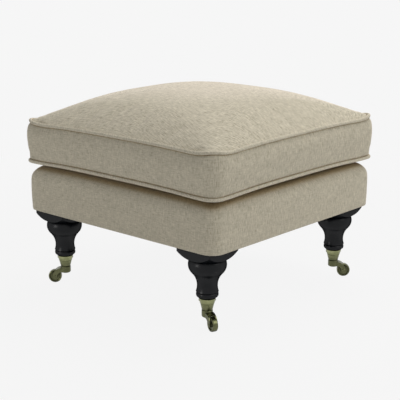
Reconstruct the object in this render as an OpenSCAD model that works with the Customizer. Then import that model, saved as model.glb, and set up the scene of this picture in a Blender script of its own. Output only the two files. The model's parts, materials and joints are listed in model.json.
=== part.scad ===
// Square footstool with a loose box cushion on an upholstered, sprung base,
// four turned legs and a small swivelling cup castor under each leg.
// Millimetres, +Z up, floor at z = 0, the footstool's centre line on the Z axis,
// front towards -Y. Left and right are as seen from the front.

/* [Cushion] */
// Cushion width over the piping
cushion_w = 600; // [480:10:760]
// Cushion depth over the piping
cushion_d = 600; // [480:10:760]
// Corner radius of the cushion in plan
cushion_corner_r = 30; // [20:1:50]
// Height of the boxing from seam to seam
boxing_h = 97.5; // [60:0.5:140]
// Rise of the crown above the top seam
crown_h = 73; // [30:0.5:90]
// How far the boxing bulges beyond its seams
boxing_bulge = 5.8; // [2:0.2:10]
// How far the sides are drawn in halfway between the corners
side_draw_in = 3; // [0:0.5:6]
// How much higher the seams run halfway along a side than near the corners
seam_rise = 5; // [0:0.5:8]
// How much the seams lift at the very corners
corner_lift = 2.5; // [0:0.5:8]
// Diameter of the piping
piping_d = 6; // [4:0.5:8]
// Thickness of the covering fabric with its lining
fabric_t = 1.6; // [1:0.1:2.4]
// Height of the lower seam above the deck, near the corners
seam_above_deck = 9.5; // [7:0.5:14]

/* [Zip] */
// Length of the zip's chain
zip_len = 440; // [300:10:460]
// Width of the slot in the boxing that shows the zip
zip_slot_w = 12; // [11:0.5:18]
// Width of the chain
zip_chain_w = 4; // [3:0.5:5]
// Height of the chain above its tape
zip_chain_t = 1.8; // [1.2:0.1:2.4]
// Thickness of the tape
zip_tape_t = 0.8; // [0.5:0.1:1.2]
// Length of the slider
zip_slider_len = 12; // [9:0.5:16]
// Wall of the slider round the chain
zip_slider_wall = 1.6; // [1.2:0.1:2.2]

/* [Base] */
// Height of the base's underside above the floor
base_z = 186; // [170:1:230]
// Height of the base from its underside to the deck
base_h = 108; // [100:1:150]
// How far each side of the base stands back from the cushion's piping
base_inset = 3; // [0:0.5:12]
// Corner radius of the base in plan
base_corner_r = 35; // [35:1:50]
// Radius of the rolled top edge
base_roll_r = 33; // [20:1:34]
// Thickness of the base's cover
cover_t = 2; // [1.2:0.1:3]
// Thickness of the wadding under the cover
wadding_t = 4; // [2:0.5:8]
// Width of the border of cover fabric round the deck
deck_border_w = 80; // [50:5:120]
// Thickness of the dust cover
dust_cover_t = 0.6; // [0.4:0.1:1.5]
// How far the dust cover stands back from the base's sides
dust_cover_inset = 8; // [5:1:14]
// Thickness of the platform cloth on the deck
deck_cloth_t = 1.2; // [0.8:0.1:2]

/* [Frame] */
// Thickness of the rails
rail_t = 32; // [26:1:36]
// Height of the rails
rail_h = 68; // [60:1:76]
// Length of a corner block's sides along the rails
block_leg = 100; // [90:2:120]
// Height of the corner blocks
block_h = 50; // [40:1:56]
// Distance of a block's screws from the corner
block_screw_at = 75; // [60:1:80]
// Diameter of the block screws' shanks
block_screw_d = 5; // [4:0.5:6]
// How deep a block screw goes into the rail
block_screw_grip = 20; // [14:1:24]
// Diameter of the dowels
dowel_d = 10; // [8:1:12]
// Depth of a dowel in the end rail
dowel_depth = 22; // [16:1:24]
// Length of a dowel in the side rail
dowel_len = 38; // [25:1:45]
// Distance between the two dowels of a joint
dowel_pitch = 32; // [24:1:40]

/* [Springs] */
// Distance between neighbouring springs
spring_pitch = 110; // [80:1:130]
// Wire diameter of the springs
spring_wire_d = 3.8; // [3:0.2:4.4]
// Distance between a spring's cross runs
spring_run_pitch = 24; // [20:1:30]
// Straight length of a cross run
spring_run_len = 24; // [16:1:30]
// Sheet thickness of the spring clips
clip_t = 1.2; // [0.8:0.1:1.6]
// Length of a clip along the wire
clip_len = 20; // [12:1:22]
// Diameter of the tie wires
tie_wire_d = 2.8; // [2:0.2:3.4]
// Distance of each tie wire from the middle
tie_wire_at = 90; // [60:5:140]
// Thickness of the hessian over the springs
hessian_t = 1.2; // [0.8:0.1:2]
// Width of the edge roll
edge_roll_w = 45; // [36:1:60]
// Depth of rail top that the edge roll sits on
edge_roll_seat = 18.5; // [14:0.5:19]

/* [Legs] */
// Distance of the leg axes from the base's side faces
leg_inset_x = 66.5; // [56:0.5:90]
// Distance of the leg axes from the base's front and back faces
leg_inset_y = 57.5; // [50:0.5:90]
// Width of the square block at the top of a leg
plate_w = 96; // [88:1:104]
// Height of the block's straight edge
plate_edge = 8; // [6:0.1:14]
// Small radius on the block's upright corners
plate_corner_r = 3; // [1:0.5:6]
// Height of the turned slope under the block
slope_h = 19.5; // [12:0.1:22]
// Radius of the quirk between the slope and the bulb
quirk_r = 38; // [34:0.1:40]
// Largest radius of the bulb
bulb_r = 42.3; // [40:0.1:44]
// Radius of the bulb's arc
bulb_arc_r = 26; // [24:0.5:28]
// Distance of the bulb's middle below the base
bulb_drop = 40; // [38:0.5:44]
// Radius of the waist
waist_r = 22.7; // [20:0.1:26]
// Height of the waist above the cup's underside
waist_rise = 56; // [50:0.5:62]
// Radius of the ring bead
bead_r = 24.7; // [24:0.1:27]
// Height of the ring bead's middle above the cup's underside
bead_rise = 35.8; // [34:0.1:37]
// Half height of the ring bead
bead_half_h = 5.6; // [4:0.1:6]
// Diameter of the leg bolts
leg_bolt_d = 8; // [6:1:10]
// Depth of a leg bolt in the leg
leg_bolt_grip = 40; // [30:1:50]

/* [Castors] */
// Diameter of the castor wheels
wheel_d = 32; // [28:1:34]
// Width of the castor wheels
wheel_w = 12; // [10:0.5:14]
// Height of the cup's underside above the floor
cup_z = 42.5; // [38:0.5:46]
// Height of the cup
cup_h = 27.4; // [22:0.1:30]
// Radius of the cup at its rim
cup_rim_r = 19.2; // [18:0.1:21]
// Radius of the cup where the collar meets the taper
cup_step_r = 15.3; // [14.5:0.1:16]
// Radius of the cup's underside
cup_foot_r = 12; // [11.5:0.1:13]
// Wall of the cup
cup_wall = 1.2; // [1:0.1:1.8]
// Thickness of the cup's floor
cup_floor_t = 3; // [2.5:0.1:4]
// Distance from the swivel axis to the wheel's axle
castor_trail = 26; // [25:0.5:28]
// Radius of the horn's boss
boss_r = 12.4; // [12:0.1:13]
// Gap between the cup and the horn
swivel_gap = 0.8; // [0.6:0.1:1.2]
// Width of the horn's arms, seen from the side
arm_w = 11; // [10:0.5:12]
// Thickness of each arm
arm_t = 3.2; // [2.6:0.1:4]
// Side clearance between wheel and arm
wheel_side_gap = 0.6; // [0.4:0.1:1]
// Diameter of the swivel pin
pin_d = 7; // [6:0.5:8]
// Diameter of the axle
axle_d = 5; // [4:0.5:6]
// Diameter of the small screws that hold the cups
cup_screw_d = 2.4; // [2:0.2:3]
// Length of the cup screws in the leg
cup_screw_len = 10; // [6:1:12]
// Direction of the front left castor, counterclockwise from +X
yaw_front_left = 222; // [0:1:360]
// Direction of the front right castor
yaw_front_right = 338; // [0:1:360]
// Direction of the back left castor
yaw_back_left = 130; // [0:1:360]
// Direction of the back right castor
yaw_back_right = 40; // [0:1:360]

/* [Hidden] */
$fn = 64;

// Colours
fabric_colour = [0.70, 0.66, 0.56];
lining_colour = [0.80, 0.78, 0.72];
wood_colour = [0.72, 0.56, 0.36];
lacquer_colour = [0.09, 0.09, 0.09];
brass_colour = [0.52, 0.50, 0.33];
steel_colour = [0.62, 0.63, 0.65];
felt_colour = [0.86, 0.85, 0.82];
foam_colour = [0.90, 0.86, 0.68];
hessian_colour = [0.66, 0.54, 0.36];
black_cloth_colour = [0.10, 0.10, 0.11];

// Clearances
fit = 0.1;          // between pieces that are fixed to each other
soft_gap = 0.3;     // between soft pieces, and round the zip's chain
running_fit = 0.05; // radial clearance of the wheels and the swivels
cut = 1;            // how far a cut runs past the face that it opens

// Small sizes of stock parts and details
fold_squeeze = 0.4;         // how much the cover is pressed thinner in its fold under the rails
fold_stop = 6;              // distance of the fold's end from the rails' inner faces
zip_slot_end = 2;           // how far the slot runs past each end of the chain
slider_at = 14;             // distance of the slider from the chain's end at rest
screw_sink = 7;             // depth of a block screw's counterbore
screw_head_h = 3;
screw_offset = 6;           // how far the rails' screws lie above and below the block's middle
clip_edge = 1.8;            // distance of a clip from the rail's inner edge
clip_tab_gap = 0.5;
bolt_play = 1;              // how much wider the leg bolts' clearance holes are
bolt_reach = 3;             // how far a leg bolt stands out above its block
tee_nut_wall = 1.9;
tee_nut_flange = 7;         // how far a tee nut's flange stands out from its bolt
tee_nut_flange_t = 1.6;
tee_nut_barrel_h = 12;
tee_nut_room = 2;           // free depth under a tee nut

// Base and frame, derived
base_w = cushion_w - 2 * base_inset;
base_d = cushion_d - 2 * base_inset;
deck_z = base_z + base_h;
cover_z = base_z + dust_cover_t;
fold_t = cover_t - fold_squeeze;
frame_inset = cover_t + wadding_t + 2 * fit;
frame_w = base_w - 2 * frame_inset;
frame_d = base_d - 2 * frame_inset;
frame_corner_r = base_corner_r - frame_inset;
rail_z = cover_z + fold_t + fit;
rail_top = rail_z + rail_h;
bay_w = frame_w - 2 * rail_t;
bay_d = frame_d - 2 * rail_t;
leg_x = base_w / 2 - leg_inset_x;
leg_y = base_d / 2 - leg_inset_y;
block_top = rail_z + block_h;

// Springs, derived
clip_bore_r = spring_wire_d / 2 + fit;
clip_r = clip_bore_r + clip_t;
spring_z = rail_top + clip_r;
clip_seat = clip_r + clip_edge;
clip_tab = rail_t - edge_roll_seat - clip_seat - clip_r - clip_tab_gap;
hessian_z = spring_z + clip_r + 2 * fit;
deck_fill_z = hessian_z + hessian_t;
deck_fill_top = deck_z - cover_t - fit;

// Cushion, derived
seam_low = deck_z + seam_above_deck;
seam_high = seam_low + boxing_h;
piping_r = piping_d / 2;
half_w = cushion_w / 2;
half_d = cushion_d / 2;
panel_edge = 0.735 * piping_d / 2; // the panels meet the piping at 45 degrees
edge_in = piping_r + panel_edge;
seam_in = piping_r + soft_gap;
seam_step = piping_r + fit;
zip_z = (seam_low + seam_high) / 2 + seam_rise;
zip_y = half_d - seam_in + boxing_bulge - side_draw_in - fabric_t;
zip_slot_len = zip_len + 2 * zip_slot_end;

// Corner arc steps, side steps and crown rings of the cushion's surfaces
arc_steps = 4;
side_steps = 8;
crown_rings = 8;
piping_sides = 6;
quarter_steps = arc_steps + side_steps;
round_steps = 4 * quarter_steps;

// Castors: small sizes
cup_step_share = 0.51;  // height of the step between taper and collar, as a share of the cup
cup_break = 0.6;        // rounded edge of the cup's foot and step
collar_out = 0.8;       // how far the collar stands out over the step
collar_rise = 1.4;      // height of the collar's foot above the step
rim_break = 0.5;
cup_head_rise = 0.2;    // how far a cup screw's head lies off the collar
cup_head_h = 0.8;
cup_head_out = 0.9;     // how far the head stands out from the shank
pin_head_out = 2;       // how far the pin's head and peened end stand out
pin_shoulder_out = 1.5;
peen_room = 0.5;        // gap round and above the peened end
boss_round = 4;         // rounded lower edge of the boss
boss_break = 0.8;
boss_h = 16.5;
arm_straight = 10;      // how far the arms run straight out before they bend down
tyre_gap = 1.3;         // gap between the tyre and the horn
axle_rivet = 1;         // height and overhang of the axle's riveted ends
hub_wall = 2.4;
wheel_dish = 2.4;       // depth of the dish in each face of the wheel
wheel_rim_w = 3.4;      // radial width of the rim
tyre_break = 0.5;       // small rounding of the wheel's edges

// Castors, derived
axle_z = wheel_d / 2;
boss_top = cup_z - swivel_gap;
boss_z = boss_top - boss_h;
arm_arc_r = castor_trail - arm_straight;
slot_w = wheel_w + 2 * wheel_side_gap;
fork_w = slot_w + 2 * arm_t;
pin_head_h = 2;
peen_h = 1.8;
tenon_r_gap = 0.15;

// Helpers in the plane
function along(a, b, t) = a + (b - a) * t;

module rounded_plan(w, d, r) {
    square([w - 2 * r, d], center = true);
    square([w, d - 2 * r], center = true);
    for (sx = [-1, 1], sy = [-1, 1])
        translate([sx * (w / 2 - r), sy * (d / 2 - r)]) circle(r);
}

module rounded_block(w, d, h, r) {
    linear_extrude(h) rounded_plan(w, d, r);
}

module box(w, d, h) {
    translate([-w / 2, -d / 2, 0]) cube([w, d, h]);
}

module four_corners() {
    for (mx = [0, 1], my = [0, 1]) mirror([mx, 0, 0]) mirror([0, my, 0]) children();
}

// Block with upright rounded corners and a rolled top edge
module roll_section(corner, roll) {
    square([corner - roll, roll]);
    intersection() {
        translate([corner - roll, 0]) circle(roll);
        translate([corner - roll, 0]) square(roll);
    }
}

module rolled_block(inset, z0) {
    w = base_w - 2 * inset;
    d = base_d - 2 * inset;
    top = deck_z - inset;
    roll = base_roll_r - inset;
    corner = base_corner_r - inset;
    spring_line = top - roll;
    cw = w / 2 - corner;
    cd = d / 2 - corner;
    translate([0, 0, z0]) rounded_block(w, d, spring_line - z0, corner);
    translate([0, 0, spring_line]) {
        box(2 * cw, 2 * cd, roll);
        for (a = [0 : 90 : 270]) {
            run = a % 180 == 0 ? 2 * cd : 2 * cw;
            out = a % 180 == 0 ? cw : cd;
            rotate([0, 0, a]) translate([out, run / 2, 0]) rotate([90, 0, 0])
                linear_extrude(run) roll_section(corner, roll);
        }
        for (q = [0 : 3])
            translate([(q == 0 || q == 3 ? 1 : -1) * cw, (q < 2 ? 1 : -1) * cd, 0])
                rotate([0, 0, 90 * q]) rotate_extrude(angle = 90) roll_section(corner, roll);
    }
}

// Surfaces lofted through rings of equal length. From the ring called back on, where a surface
// turns back inside the first one, the diagonals lean the other way, so that both sides match.
function ring_quads(n, j, k, turned) = [
    for (i = [0 : n - 1])
        let (a = j * n + i, b = j * n + (i + 1) % n, c = k * n + (i + 1) % n, d = k * n + i)
        each (turned ? [[a, b, d], [b, c, d]] : [[a, b, c], [a, c, d]])
];

// A closed body from an upper pole through rings that run outwards and down to a lower pole
module pole_loft(upper, rings, lower, back) {
    n = len(rings[0]);
    m = len(rings);
    points = concat([for (r = rings) each r], [upper, lower]);
    faces = concat(
        [for (i = [0 : n - 1]) [m * n, (i + 1) % n, i]],
        [for (j = [0 : m - 2]) each ring_quads(n, j, j + 1, j >= back)],
        [for (i = [0 : n - 1]) [(m - 1) * n + i, (m - 1) * n + (i + 1) % n, m * n + 1]]);
    polyhedron(points, faces, convexity = 6);
}

// A closed ring-shaped body whose section runs down its outside and up its inside
module loop_loft(rings, back) {
    n = len(rings[0]);
    m = len(rings);
    polyhedron([for (r = rings) each r],
        [for (j = [0 : m - 1]) each ring_quads(n, j, (j + 1) % m, j >= back)], convexity = 6);
}

// Outline of the cushion: corner arcs joined by sides that draw in between the corners
function quadrant(i) = floor(i / quarter_steps);
function step_in(i) = i - quarter_steps * quadrant(i);
function on_arc(i) = step_in(i) <= arc_steps;
function side_t(i) = on_arc(i) ? 0 : (step_in(i) - arc_steps) / side_steps;
function side_wave(i) = 4 * side_t(i) * (1 - side_t(i));
function corner_at(q) = [
    (q % 4 == 0 || q % 4 == 3 ? 1 : -1) * (half_w - cushion_corner_r),
    (q % 4 < 2 ? 1 : -1) * (half_d - cushion_corner_r)
];
function heading(i) = 90 * quadrant(i) + (on_arc(i) ? 90 * step_in(i) / arc_steps : 90);
function outward(i) = [cos(heading(i)), sin(heading(i))];
function outline(i, out) =
    along(corner_at(quadrant(i)), corner_at(quadrant(i) + 1), side_t(i))
    + (cushion_corner_r + out - side_draw_in * side_wave(i)) * outward(i);
function seam_wave(i) = on_arc(i)
    ? corner_lift * sin(180 * step_in(i) / arc_steps)
    : seam_rise * sin(90 * side_wave(i));
function plan_ring(out, z, wave = 1) = [
    for (i = [0 : round_steps - 1])
        let (p = outline(i, out)) [p.x, p.y, z + wave * seam_wave(i)]
];

// Crown of the cushion: steep at the seam, nearly level in the middle
crown_power = 2.96;
crown_steepness = 0.79;
function dome(x, y) = (1 - pow(abs(x) / half_w, crown_power)) * (1 - pow(abs(y) / half_d, crown_power));
function crown(share, p) =
    pow(max(0, dome(share * p.x, share * p.y) - pow(share, 8) * dome(p.x, p.y)), crown_steepness);
function crown_ring(share, inset, drop) = [
    for (i = [0 : round_steps - 1])
        let (p = outline(i, -edge_in - inset))
        [share * p.x, share * p.y,
            seam_high + panel_edge + crown_h * crown(share, p)
            + seam_wave(i) * pow(share, 6) - drop * (1 - pow(share, 4))]
];
function crown_rings_of(inset, drop) = [
    for (k = [1 : crown_rings]) crown_ring(sin(90 * k / crown_rings), inset, drop)
];
crown_z = seam_high + panel_edge + crown_h;

// Underside of the cushion: flat on the deck, turning up to the lower seam
flat_share = 0.9;
turn_share = 0.957;
turn_rise = 2.3;    // how far the underside has risen at turn_share
function under_rings(inset, lift) = [
    [for (p = plan_ring(-edge_in - inset, 0, 0)) [flat_share * p.x, flat_share * p.y, deck_z + soft_gap + lift]],
    [for (p = plan_ring(-edge_in - inset, 0, 0)) [turn_share * p.x, turn_share * p.y, deck_z + soft_gap + turn_rise + lift]],
    plan_ring(-edge_in - inset, seam_low - panel_edge)
];

// Boxing: bulges most in its upper third
boxing_steps = [0, 0.15, 0.35, 0.6, 0.85, 1];
lining_steps = [0, 0.5, 1];
function boxing_out(w) = -seam_in + boxing_bulge * sin(180 * pow(w, 0.75));
function boxing_ring(w, inset) =
    plan_ring(boxing_out(w) - inset, along(seam_high - seam_step, seam_low + seam_step, w));

function reversed(list) = [for (i = [len(list) - 1 : -1 : 0]) list[i]];

// Cushion pieces
module cushion_top_panel() {
    color(fabric_colour) pole_loft([0, 0, crown_z],
        concat(crown_rings_of(0, 0), reversed(crown_rings_of(fabric_t, fabric_t))),
        [0, 0, crown_z - fabric_t], back = crown_rings);
}

module cushion_boxing() {
    color(fabric_colour) difference() {
        loop_loft(concat(
            [for (w = boxing_steps) boxing_ring(w, 0)],
            [for (w = reversed(lining_steps)) boxing_ring(w, fabric_t)]), back = len(boxing_steps));
        translate([0, half_d, zip_z - zip_slot_w / 2]) box(zip_slot_len, cushion_corner_r, zip_slot_w);
    }
}

module cushion_bottom_panel() {
    color(fabric_colour) pole_loft([0, 0, deck_z + soft_gap + fabric_t],
        concat(under_rings(fabric_t, fabric_t), reversed(under_rings(0, 0))),
        [0, 0, deck_z + soft_gap], back = len(under_rings(0, 0)));
}

module piping_tube(z) {
    color(fabric_colour) loop_loft([
        for (k = [0 : piping_sides - 1])
            let (a = -360 * k / piping_sides)
            plan_ring(-piping_r + piping_r * cos(a), z + piping_r * sin(a))
    ], back = piping_sides);
}

module cushion_piping_top() {
    piping_tube(seam_high);
}

module cushion_piping_bottom() {
    piping_tube(seam_low);
}

module cushion_pad() {
    deep = fabric_t + soft_gap;
    color(felt_colour) difference() {
        pole_loft([0, 0, crown_z - deep],
            concat(crown_rings_of(deep, deep),
                [for (w = lining_steps) boxing_ring(w, deep)],
                reversed(under_rings(deep, deep))),
            [0, 0, deck_z + soft_gap + deep], back = crown_rings + len(lining_steps));
        translate([-zip_slot_len / 2, zip_y - soft_gap, zip_z - zip_slot_w / 2])
            cube([zip_slot_len, cushion_corner_r, zip_slot_w]);
    }
}

// Zip along the middle of the back boxing
module cushion_zip() {
    tape_w = zip_slot_w - 2 * fit;
    color(lining_colour) {
        translate([-zip_len / 2, zip_y, zip_z - tape_w / 2])
            cube([zip_len, zip_tape_t, tape_w]);
        translate([-zip_len / 2, zip_y + zip_tape_t, zip_z - zip_chain_w / 2])
            cube([zip_len, zip_chain_t, zip_chain_w]);
    }
}

module zip_slider() {
    inner_w = zip_chain_w + 2 * soft_gap;
    outer_w = inner_w + 2 * zip_slider_wall;
    foot_y = zip_y + zip_tape_t + soft_gap;
    roof_y = zip_y + zip_tape_t + zip_chain_t + soft_gap;
    color(steel_colour) translate([zip_len / 2 - slider_at - zip_slider_len, 0, zip_z]) difference() {
        translate([0, foot_y, -outer_w / 2])
            cube([zip_slider_len, roof_y + zip_slider_wall - foot_y, outer_w]);
        translate([-cut, foot_y - cut, -inner_w / 2])
            cube([zip_slider_len + 2 * cut, roof_y - foot_y + cut, inner_w]);
    }
}

// Frame of the base
module rail_envelope() {
    translate([0, 0, rail_z]) rounded_block(frame_w, frame_d, rail_h, frame_corner_r);
}

module dowel_places() {
    for (sx = [-1, 1], dz = [-0.5, 0.5])
        translate([sx * (bay_w / 2 + rail_t / 2), -bay_d / 2, rail_z + rail_h / 2 + dz * dowel_pitch])
            rotate([-90, 0, 0]) children();
}

module end_rail() {
    color(wood_colour) difference() {
        intersection() {
            rail_envelope();
            translate([-frame_w / 2, -frame_d / 2, rail_z]) cube([frame_w, rail_t, rail_h]);
        }
        dowel_places() translate([0, 0, -dowel_depth - fit])
            cylinder(d = dowel_d + 2 * fit, h = dowel_depth + fit + cut);
        block_screw_places() translate([0, 0, -block_screw_grip - fit])
            cylinder(d = block_screw_d + 2 * fit, h = block_screw_grip + fit + cut);
    }
}

module side_rail() {
    color(wood_colour) difference() {
        translate([bay_w / 2, -bay_d / 2, rail_z]) cube([rail_t, bay_d, rail_h]);
        for (end = [0, 1]) mirror([0, end, 0]) {
            dowel_places() translate([0, 0, -cut])
                cylinder(d = dowel_d + 2 * fit, h = dowel_len + fit + cut);
            side_screw_places() translate([0, 0, -block_screw_grip - fit])
                cylinder(d = block_screw_d + 2 * fit, h = block_screw_grip + fit + cut);
        }
    }
}

// The frame of a screw place: +Z points from the rail's inner face into the block
module block_screw_places() {
    for (sx = [-1, 1])
        translate([sx * (bay_w / 2 - block_screw_at), -bay_d / 2, rail_z + block_h / 2 - screw_offset])
            rotate([-90, 0, 0]) children();
}

module side_screw_places() {
    translate([bay_w / 2, -(bay_d / 2 - block_screw_at), rail_z + block_h / 2 + screw_offset])
        rotate([0, -90, 0]) children();
}

module frame_front_rail() {
    end_rail();
}

module frame_back_rail() {
    mirror([0, 1, 0]) end_rail();
}

module frame_right_rail() {
    side_rail();
}

module frame_left_rail() {
    mirror([1, 0, 0]) side_rail();
}

module block_screw_hole() {
    seat = block_leg - block_screw_at;
    translate([0, 0, -cut]) cylinder(d = block_screw_d + 2 * fit, h = seat + 2 * cut);
    translate([0, 0, seat - screw_sink])
        cylinder(d = 2 * block_screw_d + 2 * fit, h = screw_sink + block_screw_d + fit + cut);
}

module front_right_block() {
    difference() {
        translate([bay_w / 2, -bay_d / 2, rail_z])
            linear_extrude(block_h) polygon([[0, 0], [0, block_leg], [-block_leg, 0]]);
        block_screw_places() block_screw_hole();
        side_screw_places() block_screw_hole();
        translate([leg_x, -leg_y, rail_z - cut])
            cylinder(d = leg_bolt_d + bolt_play, h = block_h + 2 * cut);
        translate([leg_x, -leg_y, block_top - tee_nut_barrel_h - tee_nut_room])
            cylinder(d = leg_bolt_d + 2 * tee_nut_wall + 2 * fit, h = tee_nut_barrel_h + tee_nut_room + cut);
    }
}

module frame_corner_blocks() {
    color(wood_colour) four_corners() mirror([0, 1, 0]) front_right_block();
}

module block_screw() {
    seat = block_leg - block_screw_at - screw_sink;
    translate([0, 0, -block_screw_grip])
        cylinder(d = block_screw_d, h = block_screw_grip + seat + screw_head_h / 2);
    translate([0, 0, seat]) cylinder(d = 2 * block_screw_d, h = screw_head_h);
}

module frame_block_screws() {
    color(steel_colour) {
        for (end = [0, 1]) mirror([0, end, 0]) {
            block_screw_places() block_screw();
            for (side = [0, 1]) mirror([side, 0, 0]) side_screw_places() block_screw();
        }
    }
}

module frame_dowels() {
    color(wood_colour) for (end = [0, 1]) mirror([0, end, 0])
        dowel_places() translate([0, 0, -dowel_depth])
            cylinder(d = dowel_d, h = dowel_depth + dowel_len);
}

// Springs between the front and back rails, numbered from the left
spring_count = 4;
spring_span = bay_d + 2 * clip_seat;
spring_runs = 2 * floor(spring_span / spring_run_pitch / 2) + 1;
run_step = spring_span / (spring_runs - 1);

module at_spring(k) {
    translate([(k - (spring_count + 1) / 2) * spring_pitch, 0, spring_z]) children();
}

module spring_run(k) {
    translate([-spring_run_len / 2, k * run_step - spring_span / 2, 0])
        rotate([0, 90, 0]) cylinder(d = spring_wire_d, h = spring_run_len, $fn = 24);
}

module spring_bend(k) {
    side = k % 2 == 0 ? 1 : -1;
    translate([side * spring_run_len / 2, (k + 0.5) * run_step - spring_span / 2, 0])
        rotate([0, 0, -90 * side]) rotate_extrude(angle = 180, $fn = 24)
            translate([run_step / 2, 0]) circle(d = spring_wire_d, $fn = 24);
}

module zigzag_spring(number) {
    color(steel_colour) at_spring(number) {
        for (k = [0 : spring_runs - 2]) {
            spring_run(k);
            spring_bend(k);
        }
        spring_run(spring_runs - 1);
    }
}

module clip_section() {
    difference() {
        union() {
            circle(clip_r, $fn = 32);
            translate([0, -clip_r]) square([clip_r + clip_tab, clip_t]);
        }
        circle(clip_bore_r, $fn = 32);
        translate([-clip_r - cut, 0]) square(clip_r + cut);
    }
}

module spring_clips() {
    color(steel_colour) for (number = [1 : spring_count], end = [0, 1])
        at_spring(number) mirror([0, end, 0])
        translate([-clip_len / 2, spring_span / 2, 0])
            rotate([90, 0, 90]) linear_extrude(clip_len) clip_section();
}

module spring_tie_wires() {
    reach = bay_w - 2 * soft_gap;
    color(steel_colour) for (s = [-1, 1])
        translate([-reach / 2, s * tie_wire_at, spring_z - (spring_wire_d + tie_wire_d) / 2 - fit])
            rotate([0, 90, 0]) cylinder(d = tie_wire_d, h = reach, $fn = 24);
}

module spring_hessian() {
    reach = rail_t - edge_roll_seat - soft_gap;
    color(hessian_colour) translate([0, 0, hessian_z])
        box(bay_w + 2 * reach, bay_d + 2 * reach, hessian_t);
}

// Padding and covers of the base
module edge_roll() {
    color(felt_colour) difference() {
        rolled_block(frame_inset, rail_top + fit);
        translate([0, 0, rail_top - cut])
            box(frame_w - 2 * edge_roll_seat, frame_d - 2 * edge_roll_seat, deck_fill_z + fit - rail_top + cut);
        translate([0, 0, rail_top - cut])
            box(frame_w - 2 * edge_roll_w, frame_d - 2 * edge_roll_w, base_h);
    }
}

module deck_foam() {
    color(foam_colour) translate([0, 0, deck_fill_z])
        box(frame_w - 2 * edge_roll_w - 2 * soft_gap, frame_d - 2 * edge_roll_w - 2 * soft_gap,
            deck_fill_top - deck_fill_z);
}

module side_wadding() {
    color(felt_colour) difference() {
        rolled_block(cover_t + fit, rail_z);
        rolled_block(cover_t + fit + wadding_t, rail_z - cut);
        translate([0, 0, rail_z])
            box(frame_w - 2 * edge_roll_w, frame_d - 2 * edge_roll_w, base_h);
    }
}

module deck_cloth() {
    color(lining_colour) translate([0, 0, deck_z - cover_t])
        box(base_w - 2 * deck_border_w - 2 * fit, base_d - 2 * deck_border_w - 2 * fit, deck_cloth_t);
}

module base_cover() {
    fold_w = frame_inset + rail_t - fold_stop;
    color(fabric_colour) difference() {
        rolled_block(0, cover_z);
        rolled_block(cover_t, cover_z + fold_t);
        translate([0, 0, cover_z - cut]) box(base_w - 2 * fold_w, base_d - 2 * fold_w, fold_t + 2 * cut);
        translate([0, 0, deck_z - 2 * cover_t])
            box(base_w - 2 * deck_border_w, base_d - 2 * deck_border_w, 3 * cover_t);
    }
}

module dust_cover() {
    color(black_cloth_colour) difference() {
        translate([0, 0, base_z])
            rounded_block(base_w - 2 * dust_cover_inset, base_d - 2 * dust_cover_inset,
                dust_cover_t, base_corner_r - dust_cover_inset);
        four_corners() translate([leg_x, leg_y, base_z - cut])
            cylinder(d = leg_bolt_d + bolt_play, h = dust_cover_t + 2 * cut);
    }
}

// Legs: each place is a turned leg, its castor and the castor's direction at rest
function place(side) =
    side == "front_left" ? [-leg_x, -leg_y, yaw_front_left] :
    side == "front_right" ? [leg_x, -leg_y, yaw_front_right] :
    side == "back_left" ? [-leg_x, leg_y, yaw_back_left] :
    [leg_x, leg_y, yaw_back_right];

module at_leg(side) {
    translate([place(side)[0], place(side)[1], 0]) children();
}

module at_castor(side) {
    at_leg(side) rotate([0, 0, place(side)[2]]) children();
}

// Turned profile, as radius and height
quirk_lip = 0.8;    // how far the slope's foot stands out over the quirk
slope_swell = 0.14; // how far the slope swells out from a straight line, as a share of its height
quirk_h = 0.9;
neck_h = 1.2;       // height of the coves above and below the bead
bead_round = 3.4;   // radial depth of the bead's round
neck_out = 2.2;     // how far the neck below the bead stands out from the tenon
lip_out = 0.6;      // how far the leg stands out over the cup's rim
slope_z = base_z - plate_edge;
quirk_z = slope_z - slope_h;
slope_out = plate_w / 2 * sqrt(2);
bulb_z = base_z - bulb_drop;
bulb_centre_r = bulb_r - bulb_arc_r;
waist_z = cup_z + waist_rise;
bulb_over_waist = bulb_z - waist_z;
waist_offset = waist_r - bulb_centre_r;
waist_arc_r = (pow(waist_offset, 2) + pow(bulb_over_waist, 2) - pow(bulb_arc_r, 2))
    / (2 * (bulb_arc_r - waist_offset));
waist_centre_r = waist_r + waist_arc_r;
meet_angle = atan2(bulb_over_waist, waist_centre_r - bulb_centre_r);
bulb_start = asin(min(1, (quirk_z - quirk_h - bulb_z) / bulb_arc_r));
bead_z = cup_z + bead_rise;
bead_top = bead_z + bead_half_h;
bead_foot = bead_z - bead_half_h;
waist_end = asin((waist_z - bead_top - neck_h) / waist_arc_r);
rim_z = cup_z + cup_h;
step_z = cup_z + cup_step_share * cup_h;
tenon_rim_r = cup_rim_r - cup_wall - tenon_r_gap;
tenon_step_r = cup_step_r - cup_wall - tenon_r_gap;
tenon_z = cup_z + cup_floor_t + pin_head_h + 2 * fit;
tenon_foot_r = along(cup_foot_r, cup_step_r, (tenon_z - cup_z) / (step_z - cup_z)) - cup_wall - tenon_r_gap;

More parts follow.
